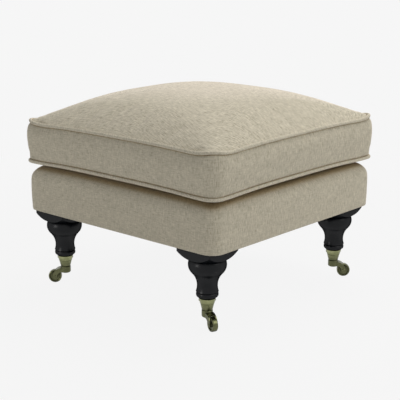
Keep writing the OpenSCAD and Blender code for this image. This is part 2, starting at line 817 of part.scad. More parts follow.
turned_profile = concat(
    [[0, base_z], [slope_out + cut, base_z], [slope_out + cut, slope_z]],
    [for (t = [0 : 0.1 : 1])
        [along(slope_out, quirk_r + quirk_lip, t), slope_z - slope_h * (t + 4 * slope_swell * t * (1 - t))]],
    [[quirk_r, quirk_z - quirk_h / 2]],
    [for (k = [0 : 12])
        let (t = along(bulb_start, -meet_angle, k / 12))
        [bulb_centre_r + bulb_arc_r * cos(t), bulb_z + bulb_arc_r * sin(t)]],
    [for (k = [1 : 12])
        let (t = along(180 - meet_angle, 180 + waist_end, k / 12))
        [waist_centre_r + waist_arc_r * cos(t), waist_z + waist_arc_r * sin(t)]],
    [[waist_r, bead_top]],
    [for (t = [75 : -15 : -75])
        [bead_r - bead_round + bead_round * cos(t), bead_z + bead_half_h * sin(t)]],
    [[tenon_rim_r + neck_out, bead_foot - neck_h], [tenon_rim_r + lip_out, rim_z + lip_out]],
    [[tenon_rim_r, rim_z + 2 * fit], [tenon_step_r, step_z], [tenon_foot_r, tenon_z], [0, tenon_z]]);

module turned_leg(side) {
    color(lacquer_colour) at_leg(side) difference() {
        intersection() {
            rotate_extrude() polygon(turned_profile);
            rounded_block(plate_w, plate_w, base_z, plate_corner_r);
        }
        translate([0, 0, base_z - leg_bolt_grip - fit])
            cylinder(d = leg_bolt_d + 2 * fit, h = leg_bolt_grip + fit + cut);
        cup_screw_places() translate([0, 0, -cup_screw_len - fit])
            cylinder(d = cup_screw_d + 2 * fit, h = cup_screw_len + 3 * cut, $fn = 24);
    }
}

module leg_bolts() {
    top = block_top + bolt_reach;
    color(steel_colour) four_corners() translate([leg_x, leg_y, base_z - leg_bolt_grip])
        cylinder(d = leg_bolt_d, h = top - base_z + leg_bolt_grip);
}

module leg_tee_nuts() {
    color(steel_colour) four_corners() translate([leg_x, leg_y, 0]) difference() {
        union() {
            translate([0, 0, block_top])
                cylinder(d = leg_bolt_d + 2 * tee_nut_flange, h = tee_nut_flange_t);
            translate([0, 0, block_top - tee_nut_barrel_h])
                cylinder(d = leg_bolt_d + 2 * tee_nut_wall, h = tee_nut_barrel_h + tee_nut_flange_t / 2);
        }
        translate([0, 0, block_top - tee_nut_barrel_h - cut])
            cylinder(d = leg_bolt_d + 2 * fit, h = tee_nut_barrel_h + tee_nut_flange_t + 2 * cut);
    }
}

// Cup of the castor, over the tapered end of the leg
cup_profile = [
    [0, cup_z], [cup_foot_r - cup_break, cup_z], [cup_foot_r, cup_z + cup_break],
    [cup_step_r, step_z], [cup_step_r - cup_break / 2, step_z + cup_break],
    [cup_step_r + collar_out, step_z + collar_rise],
    [cup_rim_r, rim_z - rim_break], [cup_rim_r - rim_break, rim_z],
    [cup_rim_r - cup_wall, rim_z], [cup_step_r - cup_wall, step_z],
    [along(cup_foot_r, cup_step_r, cup_floor_t / (step_z - cup_z)) - cup_wall, cup_z + cup_floor_t],
    [0, cup_z + cup_floor_t]
];
collar_slope = atan2(cup_rim_r - cup_step_r - collar_out, rim_z - step_z - collar_rise - rim_break);
cup_screw_z = (step_z + collar_rise + rim_z) / 2;
cup_screw_r = (cup_rim_r + cup_step_r + collar_out) / 2;

// The frame of a cup screw: +Z points out of the collar
module cup_screw_places() {
    for (a = [45, 225]) rotate([0, 0, a])
        translate([cup_screw_r, 0, cup_screw_z]) rotate([0, 90 + collar_slope, 0]) children();
}

module castor_cup(side) {
    color(brass_colour) at_leg(side) difference() {
        rotate_extrude() polygon(cup_profile);
        translate([0, 0, cup_z - cut]) cylinder(d = pin_d + 2 * fit, h = cup_floor_t + 2 * cut);
        cup_screw_places() translate([0, 0, -3 * cut])
            cylinder(d = cup_screw_d + 2 * fit, h = 6 * cut, $fn = 24);
    }
}

module castor_cup_screws() {
    color(brass_colour) for (s = ["front_left", "front_right", "back_left", "back_right"])
        at_leg(s) cup_screw_places() {
            translate([0, 0, -cup_screw_len])
                cylinder(d = cup_screw_d, h = cup_screw_len + cup_head_rise + cup_head_h / 2, $fn = 24);
            translate([0, 0, cup_head_rise])
                cylinder(d1 = cup_screw_d + 2 * cup_head_out, d2 = cup_screw_d + cup_head_out,
                    h = cup_head_h, $fn = 24);
        }
}

// Swivel pin: head in the cup, shoulder over the horn, peened end in the horn's counterbore
counterbore_z = boss_z + peen_h + peen_room;

module castor_pin(side) {
    color(brass_colour) at_leg(side) {
        translate([0, 0, cup_z + cup_floor_t]) cylinder(d = pin_d + 2 * pin_head_out, h = pin_head_h);
        translate([0, 0, boss_top + running_fit])
            cylinder(d = pin_d + 2 * pin_shoulder_out, h = swivel_gap - running_fit);
        translate([0, 0, counterbore_z - peen_h])
            cylinder(d = pin_d, h = cup_z + cup_floor_t + pin_head_h / 2 - counterbore_z + peen_h);
        translate([0, 0, counterbore_z - running_fit - peen_h])
            cylinder(d = pin_d + 2 * pin_head_out, h = peen_h);
    }
}

// Horn: boss round the pin, and a fork whose arms curve over to the axle
boss_profile = concat(
    [[0, boss_z]],
    [for (t = [-90 : 15 : 0]) [boss_r - boss_round * (1 - cos(t)), boss_z + boss_round * (1 + sin(t))]],
    [[boss_r, boss_top - boss_break], [boss_r - boss_break, boss_top], [0, boss_top]]);

module arm_outline() {
    bend = castor_trail - arm_arc_r;
    translate([0, axle_z + arm_arc_r - arm_w / 2]) square([bend, arm_w]);
    intersection() {
        translate([bend, axle_z]) difference() {
            circle(arm_arc_r + arm_w / 2);
            circle(arm_arc_r - arm_w / 2);
        }
        translate([bend, axle_z]) square(2 * castor_trail);
    }
    translate([castor_trail, axle_z]) circle(arm_w / 2);
}

module castor_horn(side) {
    color(brass_colour) at_castor(side) difference() {
        union() {
            rotate_extrude() polygon(boss_profile);
            translate([0, fork_w / 2, 0]) rotate([90, 0, 0]) linear_extrude(fork_w) arm_outline();
        }
        translate([castor_trail, slot_w / 2, axle_z]) rotate([90, 0, 0])
            cylinder(r = wheel_d / 2 + tyre_gap, h = slot_w);
        translate([castor_trail, -slot_w / 2, -wheel_d]) cube([wheel_d, slot_w, wheel_d + axle_z + wheel_d / 2]);
        translate([0, 0, boss_z - cut]) cylinder(d = pin_d + 2 * running_fit, h = boss_h + 2 * cut);
        translate([0, 0, boss_z - cut])
            cylinder(d = pin_d + 2 * (pin_head_out + peen_room), h = counterbore_z - boss_z + cut);
        translate([castor_trail, fork_w, axle_z]) rotate([90, 0, 0])
            cylinder(d = axle_d + 2 * fit, h = 2 * fork_w);
    }
}

module castor_axle(side) {
    color(brass_colour) at_castor(side) translate([castor_trail, 0, axle_z]) rotate([90, 0, 0]) {
        translate([0, 0, -(fork_w + axle_rivet) / 2]) cylinder(d = axle_d, h = fork_w + axle_rivet);
        for (end = [0, 1]) mirror([0, 0, end]) translate([0, 0, fork_w / 2])
            cylinder(d1 = axle_d + 2 * axle_rivet, d2 = axle_d, h = axle_rivet);
    }
}

// Wheel: dished on both faces, with a hub round the axle
hub_r = axle_d / 2 + hub_wall;
rim_r = wheel_d / 2 - wheel_rim_w;
half_wheel_profile = let (r = wheel_d / 2, h = wheel_w / 2, e = tyre_break) [
    [axle_d / 2 + running_fit, h], [hub_r, h], [hub_r + 2 * e, h - wheel_dish],
    [rim_r - 2 * e, h - wheel_dish], [rim_r, h - e], [rim_r + 2 * e, h],
    [r - 3 * e, h], [r - e, h - e], [r, h - 4 * e]
];
wheel_profile = concat(half_wheel_profile,
    reversed([for (p = half_wheel_profile) [p.x, -p.y]]));

module castor_wheel(side) {
    color(brass_colour) at_castor(side) translate([castor_trail, 0, axle_z]) rotate([90, 0, 0])
        rotate_extrude() polygon(wheel_profile);
}

cushion_top_panel();
cushion_boxing();
cushion_bottom_panel();
cushion_piping_top();
cushion_piping_bottom();
cushion_pad();
cushion_zip();
zip_slider();
frame_front_rail();
frame_back_rail();
frame_left_rail();
frame_right_rail();
frame_corner_blocks();
frame_block_screws();
frame_dowels();
zigzag_spring(1);  // zigzag_spring_1
zigzag_spring(2);  // zigzag_spring_2
zigzag_spring(3);  // zigzag_spring_3
zigzag_spring(4);  // zigzag_spring_4
spring_clips();
spring_tie_wires();
spring_hessian();
edge_roll();
deck_foam();
deck_cloth();
side_wadding();
base_cover();
dust_cover();
leg_bolts();
leg_tee_nuts();
castor_cup_screws();
turned_leg("front_left");  // leg_front_left
turned_leg("front_right");  // leg_front_right
turned_leg("back_left");  // leg_back_left
turned_leg("back_right");  // leg_back_right
castor_cup("front_left");  // castor_cup_front_left
castor_cup("front_right");  // castor_cup_front_right
castor_cup("back_left");  // castor_cup_back_left
castor_cup("back_right");  // castor_cup_back_right
castor_pin("front_left");  // castor_pin_front_left
castor_pin("front_right");  // castor_pin_front_right
castor_pin("back_left");  // castor_pin_back_left
castor_pin("back_right");  // castor_pin_back_right
castor_horn("front_left");  // castor_horn_front_left
castor_horn("front_right");  // castor_horn_front_right
castor_horn("back_left");  // castor_horn_back_left
castor_horn("back_right");  // castor_horn_back_right
castor_axle("front_left");  // castor_axle_front_left
castor_axle("front_right");  // castor_axle_front_right
castor_axle("back_left");  // castor_axle_back_left
castor_axle("back_right");  // castor_axle_back_right
castor_wheel("front_left");  // castor_wheel_front_left
castor_wheel("front_right");  // castor_wheel_front_right
castor_wheel("back_left");  // castor_wheel_back_left
castor_wheel("back_right");  // castor_wheel_back_right
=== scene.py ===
"""Square footstool: a loose box cushion on an upholstered base with turned legs and cup castors.

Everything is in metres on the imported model's frame: +Z up, floor at z = 0, front towards -Y.
"""

import json
import logging
import math
from collections.abc import Callable, Iterable, Sequence
from dataclasses import dataclass
from enum import Enum

import bmesh
import bpy
from mathutils import Matrix, Vector, noise
from mathutils.bvhtree import BVHTree


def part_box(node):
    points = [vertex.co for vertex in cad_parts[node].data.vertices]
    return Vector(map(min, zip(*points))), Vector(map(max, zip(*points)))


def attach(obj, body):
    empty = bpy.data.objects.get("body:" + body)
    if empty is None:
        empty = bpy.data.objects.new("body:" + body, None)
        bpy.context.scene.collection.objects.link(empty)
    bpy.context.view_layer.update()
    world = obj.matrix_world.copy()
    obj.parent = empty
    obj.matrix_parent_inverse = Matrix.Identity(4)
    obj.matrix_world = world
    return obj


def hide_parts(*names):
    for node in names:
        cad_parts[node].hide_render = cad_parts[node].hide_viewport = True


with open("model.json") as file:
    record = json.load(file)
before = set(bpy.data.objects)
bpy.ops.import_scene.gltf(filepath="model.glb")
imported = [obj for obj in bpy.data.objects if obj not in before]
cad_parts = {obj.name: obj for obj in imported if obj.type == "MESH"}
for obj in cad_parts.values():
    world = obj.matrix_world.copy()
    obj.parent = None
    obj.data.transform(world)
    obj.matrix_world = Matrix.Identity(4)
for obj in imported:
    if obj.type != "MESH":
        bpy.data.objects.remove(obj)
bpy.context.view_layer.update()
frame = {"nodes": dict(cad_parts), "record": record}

LOG = logging.getLogger("footstool")
MM = 0.001
NEARLY_ONE = 1 - 1e-4
FRONT_SLUB_SHARE = 0.5
SIDE_SLUB_SHARE = 0.82
NoiseLayers = tuple[tuple[float, float, tuple[float, float, float]], ...]


class Region(Enum):
    """Which stretch of a cushion's cover a place belongs to, with how far the filling may swell it."""

    TOP = 0.008
    BAND = 0.002
    UNDER = 0.0

    @property
    def swell_cap(self) -> float:
        """The furthest that the filling pushes this stretch outwards."""
        return self.value


# Helpers for modelling


def deselect_all() -> None:
    """Leaves edit mode and deselects every object."""
    if bpy.context.object and bpy.context.object.mode != "OBJECT":
        bpy.ops.object.mode_set(mode="OBJECT")
    bpy.ops.object.select_all(action="DESELECT")


def choose(obj: bpy.types.Object) -> None:
    """Makes one object the active and only selected one."""
    deselect_all()
    obj.select_set(True)
    bpy.context.view_layer.objects.active = obj


def new_piece(name: str) -> bpy.types.Object:
    """Names the primitive that was added last.

    Args:
        name: Name of the object and its mesh.

    Returns:
        The active object.
    """
    obj = bpy.context.active_object
    obj.name = name
    obj.data.name = name
    return obj


def apply_place(obj: bpy.types.Object) -> None:
    """Puts an object's place, turn and scale into its mesh."""
    choose(obj)
    bpy.ops.object.transform_apply(location=True, rotation=True, scale=True)


def finish_with(obj: bpy.types.Object, kind: str, **settings: object) -> None:
    """Adds a modifier, sets it and applies it.

    Args:
        obj: The object.
        kind: Blender's name of the modifier.
        **settings: Values of the modifier's properties.
    """
    modifier = obj.modifiers.new(kind.title(), kind)
    for key, value in settings.items():
        setattr(modifier, key, value)
    choose(obj)
    bpy.ops.object.modifier_apply(modifier=modifier.name)


def round_edges(obj: bpy.types.Object, width: float, segments: int = 2, angle: float = 35.0) -> None:
    """Bevels the sharp edges of a piece."""
    finish_with(obj, "BEVEL", width=width, segments=segments, limit_method="ANGLE",
                angle_limit=math.radians(angle), harden_normals=False)


def smooth(obj: bpy.types.Object, angle: float = 35.0) -> None:
    """Shades a piece smooth, apart from edges sharper than the angle."""
    choose(obj)
    bpy.ops.object.shade_smooth_by_angle(angle=math.radians(angle))


def select_faces(obj: bpy.types.Object, wanted: Callable[[bpy.types.MeshPolygon], bool]) -> None:
    """Opens a piece for editing with only some faces selected.

    Args:
        obj: The piece.
        wanted: Tells whether a face is selected.
    """
    choose(obj)
    bpy.ops.object.mode_set(mode="EDIT")
    bpy.ops.mesh.select_mode(type="FACE")
    bpy.ops.mesh.select_all(action="DESELECT")
    bpy.ops.object.mode_set(mode="OBJECT")
    for polygon in obj.data.polygons:
        polygon.select = wanted(polygon)
    bpy.ops.object.mode_set(mode="EDIT")


def stop_editing() -> None:
    """Leaves edit mode with vertices as what is selected next."""
    bpy.ops.mesh.select_mode(type="VERT")
    bpy.ops.object.mode_set(mode="OBJECT")


def add_cube(name: str, size: Sequence[float], place: Sequence[float] = (0, 0, 0)) -> bpy.types.Object:
    """Adds a block of a given size."""
    deselect_all()
    bpy.ops.mesh.primitive_cube_add(size=1, location=place)
    obj = new_piece(name)
    obj.scale = size
    apply_place(obj)
    return obj


def add_square_grid(name: str, cells: int) -> bpy.types.Object:
    """Adds a flat grid that is 2 by 2, with the same number of cells each way."""
    deselect_all()
    bpy.ops.mesh.primitive_grid_add(x_subdivisions=cells, y_subdivisions=cells, size=2)
    return new_piece(name)


def push_out(obj: bpy.types.Object, distance: Callable[[Vector], float]) -> None:
    """Moves each vertex along its normal by a distance that depends on its place."""
    for vertex, normal in zip(obj.data.vertices, [n.vector.copy() for n in obj.data.vertex_normals]):
        vertex.co = vertex.co + normal * distance(vertex.co)


def layered_noise(place: Vector, layers: NoiseLayers) -> float:
    """Adds up layers of noise, each with its scale, strength and shift."""
    return sum(strength * noise.noise(place * scale + Vector(shift)) for scale, strength, shift in layers)


def declare(piece: bpy.types.Object, slot: str, body: str) -> None:
    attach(piece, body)
    LOG.info("%s: %d faces", piece.name, len(piece.data.polygons))


def joined(name: str, parts: Sequence[bpy.types.Object]) -> bpy.types.Object:
    """Joins several objects into one piece.

    Args:
        name: Name of the piece.
        parts: The objects, of which the first gives the material slots their order.

    Returns:
        The piece.
    """
    deselect_all()
    for part in parts:
        part.select_set(True)
    bpy.context.view_layer.objects.active = parts[0]
    bpy.ops.object.join()
    return new_piece(name)


def copies(name: str, pattern: bpy.types.Object, places: Iterable[Matrix]) -> bpy.types.Object:
    """Repeats a small modelled shape in one piece and removes the pattern.

    Args:
        name: Name of the new piece.
        pattern: The shape, modelled round its own origin.
        places: One matrix for each copy.

    Returns:
        The piece with all the copies.
    """
    mesh = bpy.data.meshes.new(name)
    sheet = bmesh.new()
    for place in places:
        one = pattern.data.copy()
        one.transform(place)
        sheet.from_mesh(one)
        bpy.data.meshes.remove(one)
    sheet.to_mesh(mesh)
    sheet.free()
    bpy.data.objects.remove(pattern)
    obj = bpy.data.objects.new(name, mesh)
    bpy.context.scene.collection.objects.link(obj)
    return obj


def blend_between(low: float, high: float, value: float) -> float:
    """Smooth step from 0 at low to 1 at high."""
    t = min(1.0, max(0.0, (value - low) / (high - low)))
    return t * t * (3.0 - 2.0 * t)


@dataclass(frozen=True)
class RimPoint:
    """A point on a rounded square: its place, its outward direction and where it lies."""

    x: float
    y: float
    nx: float
    ny: float
    side_wave: float
    from_corner: float
    along: float

    def moved(self, out: float) -> tuple[float, float]:
        """The point moved outwards by a distance."""
        return self.x + out * self.nx, self.y + out * self.ny


@dataclass(frozen=True)
class RoundedSquare:
    """A square with round corners whose sides may draw in between the corners.

    Its rim is reached from the rim of a unit square, so that a square grid can be laid on it.
    """

    half: float
    corner_r: float
    draw_in: float = 0.0
    straight_share: float = 0.92

    @property
    def quarter(self) -> float:
        """Length of one side with half a corner arc at each end."""
        return 2 * (self.half - self.corner_r) + math.pi / 2 * self.corner_r

    def rim(self, a: float, b: float) -> RimPoint:
        """Finds the rim point for a point on the unit square's rim.

        Args:
            a: The unit square's X, from -1 to 1.
            b: The unit square's Y, where either a or b is 1 or -1.

        Returns:
            The rim point. Its along is the length round the rim, counterclockwise.
        """
        if abs(a) > abs(b):
            quarter_turn = 0 if a > 0 else 2
        else:
            quarter_turn = 1 if b > 0 else 3
        f = (b, -a, -b, a)[quarter_turn]
        flat = self.half - self.corner_r
        share = self.straight_share
        if abs(f) <= share:
            t = (f / share + 1) / 2
            wave = 4 * t * (1 - t)
            to_corner = flat * (1 - abs(f) / share) + math.pi / 4 * self.corner_r
            out, across, turn = self.half - self.draw_in * wave, flat * f / share, 0.0
            run = flat * (1 + f / share)
        else:
            turn = math.copysign(math.pi / 4 * (abs(f) - share) / (1 - share), f)
            wave, to_corner = 0.0, self.corner_r * (math.pi / 4 - abs(turn))
            out = flat + self.corner_r * math.cos(turn)
            across = math.copysign(flat, f) + self.corner_r * math.sin(turn)
            run = flat * (1 + math.copysign(1, f)) + self.corner_r * turn
        heading = math.pi / 2 * quarter_turn
        c, s = math.cos(heading), math.sin(heading)
        return RimPoint(
            x=c * out - s * across,
            y=s * out + c * across,
            nx=math.cos(heading + turn),
            ny=math.sin(heading + turn),
            side_wave=wave,
            from_corner=to_corner,
            along=quarter_turn * self.quarter + run + math.pi / 4 * self.corner_r,
        )


def sort_mesh(obj: bpy.types.Object) -> None:
    """Puts vertices and faces in one fixed order, because extruding leaves a different one each run."""
    mesh = obj.data
    places = [tuple(vertex.co) for vertex in mesh.vertices]
    order = sorted(range(len(places)), key=lambda i: places[i][::-1])
    number = {old: new for new, old in enumerate(order)}
    faces = []
    for polygon in mesh.polygons:
        ring = [number[i] for i in polygon.vertices]
        first = ring.index(min(ring))
        faces.append(ring[first:] + ring[:first])
    mesh.clear_geometry()
    mesh.from_pydata([places[i] for i in order], [], sorted(faces))


def lay_out_box(name: str, cells: int, rows: int, closed: bool = True) -> bpy.types.Object:
    """Models a box of square cells: a grid on top, extruded sides and a grid underneath.

    Args:
        name: Name of the object.
        cells: Number of cells along each side of the top.
        rows: Number of rows of cells down the sides.
        closed: Whether the box has an underside.

    Returns:
        The box. Its top is 2 by 2 at height 0, and each row is 1 high.
    """
    obj = add_square_grid(name, cells)
    bpy.ops.object.mode_set(mode="EDIT")
    bpy.ops.mesh.select_all(action="SELECT")
    if closed:
        bpy.ops.mesh.duplicate_move(TRANSFORM_OT_translate={"value": (0, 0, -rows)})
        bpy.ops.mesh.flip_normals()
    bpy.ops.object.mode_set(mode="OBJECT")
    for edge in obj.data.edges:
        ends = [obj.data.vertices[i].co for i in edge.vertices]
        edge.select = all(p.z > -0.5 for p in ends) and any(
            all(abs(p[axis]) > NEARLY_ONE for p in ends) for axis in (0, 1))
    for vertex in obj.data.vertices:
        vertex.select = vertex.co.z > -0.5 and max(abs(vertex.co.x), abs(vertex.co.y)) > NEARLY_ONE
    for polygon in obj.data.polygons:
        polygon.select = False
    bpy.ops.object.mode_set(mode="EDIT")
    bpy.ops.mesh.select_mode(type="EDGE")
    for _ in range(rows):
        bpy.ops.mesh.extrude_edges_move(TRANSFORM_OT_translate={"value": (0, 0, -1)})
    bpy.ops.mesh.select_mode(type="VERT")
    bpy.ops.mesh.select_all(action="SELECT")
    bpy.ops.mesh.remove_doubles(threshold=1e-4)
    bpy.ops.mesh.normals_make_consistent(inside=False)
    bpy.ops.object.mode_set(mode="OBJECT")
    sort_mesh(obj)
    return obj


# Shading


Socket = bpy.types.NodeSocket
Colour = tuple[float, float, float, float]


class Sheet:
    """Adds and links the nodes of one node tree, from left to right."""

    def __init__(self, tree: bpy.types.NodeTree) -> None:
        """Starts on an empty tree."""
        self.tree = tree
        self.count = 0

    def add(self, kind: str, **settings: object) -> bpy.types.Node:
        """Adds a node and sets its properties.

        Args:
            kind: The node's type, without the ShaderNode prefix.
            **settings: Values of the node's properties.

        Returns:
            The node.
        """
        node = self.tree.nodes.new(kind if kind.startswith("NodeGroup") else "ShaderNode" + kind)
        for key, value in settings.items():
            setattr(node, key, value)
        node.location = (180 * (self.count // 5), -220 * (self.count % 5))
        self.count += 1
        return node

    def feed(self, socket: Socket, value: object) -> None:
        """Links an output to an input, or sets the input's own value."""
        if isinstance(value, Socket):
            self.tree.links.new(value, socket)
        else:
            socket.default_value = value

    def give(self, node: bpy.types.Node, **values: object) -> bpy.types.Node:
        """Feeds inputs by name, with underscores for spaces, and returns the node."""
        for key, value in values.items():
            self.feed(node.inputs[key.replace("_", " ")], value)
        return node

    def give_in_order(self, node: bpy.types.Node, *values: object) -> bpy.types.Node:
        """Feeds inputs from the first one on, and returns the node."""
        for socket, value in zip(node.inputs, values):
            self.feed(socket, value)
        return node

    def maths(self, operation: str, a: object, b: object = 0.0, clamp: bool = False) -> Socket:
        """One Math node of two values."""
        return self.give_in_order(self.add("Math", operation=operation, use_clamp=clamp), a, b).outputs[0]

    def times(self, a: object, b: object) -> Socket:
        """The product of two values."""
        return self.maths("MULTIPLY", a, b)

    def plus(self, a: object, b: object) -> Socket:
        """The sum of two values."""
        return self.maths("ADD", a, b)

    def scaled(self, vector: object, factor: object) -> Socket:
        """A vector or colour times a value."""
        node = self.give_in_order(self.add("VectorMath", operation="SCALE"), vector)
        return self.give(node, Scale=factor).outputs["Vector"]

    def mix(self, factor: object, a: object, b: object, kind: str = "RGBA", how: str = "MIX") -> Socket:
        """One Mix node of colours, or of values where kind is FLOAT."""
        node = self.give_in_order(self.add("Mix", data_type=kind, blend_type=how), factor)
        first, result = {"FLOAT": (2, 0), "RGBA": (6, 2)}[kind]
        self.feed(node.inputs[first], a)
        self.feed(node.inputs[first + 1], b)
        return node.outputs[result]

    def range(self, value: object, low: float, high: float, to_low: float = 0.0,
              to_high: float = 1.0) -> Socket:
        """Maps a value from one range to another, smoothly and clamped."""
        node = self.add("MapRange", interpolation_type="SMOOTHSTEP")
        return self.give(node, Value=value, From_Min=low, From_Max=high, To_Min=to_low,
                         To_Max=to_high).outputs["Result"]

    def noise(self, vector: object, scale: object, detail: float = 2.0, roughness: float = 0.5) -> Socket:
        """The value of one Noise Texture."""
        return self.give(self.add("TexNoise"), Vector=vector, Scale=scale, Detail=detail,
                         Roughness=roughness).outputs["Fac"]

    def split(self, vector: object) -> tuple[Socket, ...]:
        """The three parts of a vector."""
        return tuple(self.give_in_order(self.add("SeparateXYZ"), vector).outputs)

    def vector(self, x: object, y: object, z: object = 0.0) -> Socket:
        """A vector from three values."""
        return self.give_in_order(self.add("CombineXYZ"), x, y, z).outputs[0]

    def place(self) -> Socket:
        """Object coordinates, in metres."""
        return self.add("TexCoord").outputs["Object"]

    def facing(self) -> Socket:
        """0 where the surface faces the eye and 1 at its outline."""
        return self.add("LayerWeight").outputs["Facing"]

    def openness(self, reach: float) -> Socket:
        """1 in the open and less where other surfaces are within reach."""
        return self.give(self.add("AmbientOcclusion", samples=8), Distance=reach).outputs["AO"]

    def bump(self, height: object, distance: float, strength: float) -> Socket:
        """One Bump node."""
        return self.give(self.add("Bump"), Height=height, Distance=distance,
                         Strength=strength).outputs["Normal"]


@dataclass(frozen=True)
class Effect:
    """A shader node group that several finishes share."""

    name: str
    inputs: tuple[tuple[str, str, float], ...]
    outputs: tuple[str, ...]
    draw: Callable[[Sheet, dict], dict]

    def group(self) -> bpy.types.NodeTree:
        """Builds the group once and finds it again later.

        Returns:
            The node group.
        """
        found = bpy.data.node_groups.get(self.name)
        if found:
            return found
        tree = bpy.data.node_groups.new(self.name, "ShaderNodeTree")
        for name, kind, default in self.inputs:
            socket = tree.interface.new_socket(name, in_out="INPUT", socket_type="NodeSocket" + kind)
            if kind == "Float":
                socket.default_value = default
        for name in self.outputs:
            tree.interface.new_socket(name, in_out="OUTPUT", socket_type="NodeSocketFloat")
        sheet = Sheet(tree)
        entry = sheet.add("NodeGroupInput")
        results = self.draw(sheet, {name: entry.outputs[name] for name, _, _ in self.inputs})
        sheet.give(sheet.add("NodeGroupOutput"), **results)
        return tree

    def place(self, sheet: Sheet, **values: object) -> bpy.types.bpy_prop_collection:
        """Places the group in a material.

        Args:
            sheet: The material's sheet.
            **values: Values of the group's inputs.

        Returns:
            The group's outputs.
        """
        node = sheet.add("Group")
        node.node_tree = self.group()
        return sheet.give(node, **values).outputs


def draw_plain_weave(sheet: Sheet, given: dict) -> dict:
    """Draws over-and-under threads from flat cloth coordinates.

    Args:
        sheet: The group's sheet.
        given: Cloth (metres) and Pitch (metres between threads).

    Returns:
        Height of the threads, the Tone of each yarn and the Gap between threads.
    """
    crimp, roundness, between_yarns, along_yarn = 0.45, 0.6, 1.7, 0.07
    threads = sheet.scaled(given["Cloth"], sheet.maths("DIVIDE", 1.0, given["Pitch"]))
    sway = sheet.times(sheet.maths("SUBTRACT", sheet.noise(threads, 0.11), 0.5), 1.6)
    u, v = (sheet.plus(part, sway) for part in sheet.split(threads)[:2])
    su, sv = (sheet.maths("SINE", sheet.times(part, math.pi)) for part in (u, v))

    def threads_over(own: Socket, other: Socket, crimp: float) -> Socket:
        """The height of one set of threads, which goes over and under the other."""
        phase = sheet.times(other, sheet.maths("SIGN", own))
        return sheet.times(sheet.maths("POWER", sheet.maths("ABSOLUTE", own), roundness),
                           sheet.plus(sheet.times(phase, crimp), 1.0))

    warp, weft = threads_over(su, sv, crimp), threads_over(sv, su, -crimp)
    height = sheet.maths("DIVIDE", sheet.maths("MAXIMUM", warp, weft), 1 + crimp)
    warp_number, weft_number = (sheet.times(sheet.maths("FLOOR", part), between_yarns) for part in (u, v))
    warp_yarn = sheet.noise(sheet.vector(warp_number, sheet.times(v, along_yarn)), 1.0, 1.0)
    weft_yarn = sheet.noise(sheet.vector(sheet.times(u, along_yarn), weft_number, 7.0), 1.0, 1.0)
    tone = sheet.mix(sheet.maths("GREATER_THAN", weft, warp), warp_yarn, weft_yarn, "FLOAT")
    return {"Height": height, "Tone": tone, "Gap": sheet.range(height, 0.42, 0.16)}


def draw_slubs(sheet: Sheet, given: dict) -> dict:
    """Draws the thick and thin places of the yarn as short streaks in both directions.

    Args:
        sheet: The group's sheet.
        given: Cloth (metres), Turn (the share of the streaks that run along V), Length and Width.

    Returns:
        Light and Dark masks of the streaks, and a Cloud of broad tone.
    """
    u, v, _ = sheet.split(given["Cloth"])

    def streaks(along: Socket, across: Socket, length: object, width: object, seed: float) -> Socket:
        """Noise that is drawn out along the yarn."""
        return sheet.noise(sheet.vector(sheet.maths("DIVIDE", along, length),
                                        sheet.maths("DIVIDE", across, width), seed), 1.0, 1.0)

    tones = []
    for along, across, seed in ((u, v, 0.0), (v, u, 9.0)):
        near = streaks(along, across, given["Length"], given["Width"], seed)
        fine = streaks(along, across, sheet.times(given["Length"], 0.36), sheet.times(given["Width"], 0.6),
                       seed + 3.0)
        tones.append(sheet.mix(0.35, near, fine, "FLOAT"))
    mixed = sheet.mix(given["Turn"], tones[0], tones[1], "FLOAT")
    cloud = sheet.noise(sheet.scaled(given["Cloth"], 24.0), 1.0)
    return {"Light": sheet.range(mixed, 0.50, 0.64), "Dark": sheet.range(mixed, 0.50, 0.36), "Cloud": cloud}


def draw_grain(sheet: Sheet, given: dict) -> dict:
    """Draws wood grain along one axis.

    Args:
        sheet: The group's sheet.
        given: Place (metres) with the grain along X, and Scale.

    Returns:
        Rings, broad bands of colour, and Pores, fine dark lines.
    """
    x, y, z = sheet.split(given["Place"])
    flat = sheet.vector(sheet.times(x, 0.06), y, z)
    drift = sheet.noise(flat, sheet.times(given["Scale"], 9.0), 3.0)
    pores = sheet.noise(flat, sheet.times(given["Scale"], 900.0), 2.0, 0.6)
    return {"Rings": sheet.maths("FRACT", sheet.times(drift, 9.0)), "Pores": sheet.range(pores, 0.42, 0.3)}


def draw_handling(sheet: Sheet, given: dict) -> dict:
    """Draws the uneven sheen and the small marks that handling leaves.

    Args:
        sheet: The group's sheet.
        given: Place (metres) and Scale.

    Returns:
        Blotches of tone, fine Specks and thin Scratches.
    """
    place, scale = given["Place"], given["Scale"]
    x, y, z = sheet.split(place)
    lines = sheet.noise(sheet.vector(x, y, sheet.times(z, 14.0)), sheet.times(scale, 160.0))
    return {
        "Blotches": sheet.noise(place, sheet.times(scale, 70.0), 3.0, 0.6),
        "Specks": sheet.noise(place, sheet.times(scale, 900.0), 2.0, 0.6),
        "Scratches": sheet.range(lines, 0.6, 0.72),
    }


PLAIN_WEAVE = Effect("plain weave", (("Cloth", "Vector", 0), ("Pitch", "Float", 0.0012)),
                     ("Height", "Tone", "Gap"), draw_plain_weave)
SLUBS = Effect("slubs", (("Cloth", "Vector", 0), ("Turn", "Float", 0.0), ("Length", "Float", 0.03),
                         ("Width", "Float", 0.002)), ("Light", "Dark", "Cloud"), draw_slubs)
GRAIN = Effect("wood grain", (("Place", "Vector", 0), ("Scale", "Float", 1.0)), ("Rings", "Pores"),
               draw_grain)
HANDLING = Effect("handling marks", (("Place", "Vector", 0), ("Scale", "Float", 1.0)),
                  ("Blotches", "Specks", "Scratches"), draw_handling)


def grey(value: float) -> Colour:
    """A neutral colour."""
    return (value, value, value, 1.0)


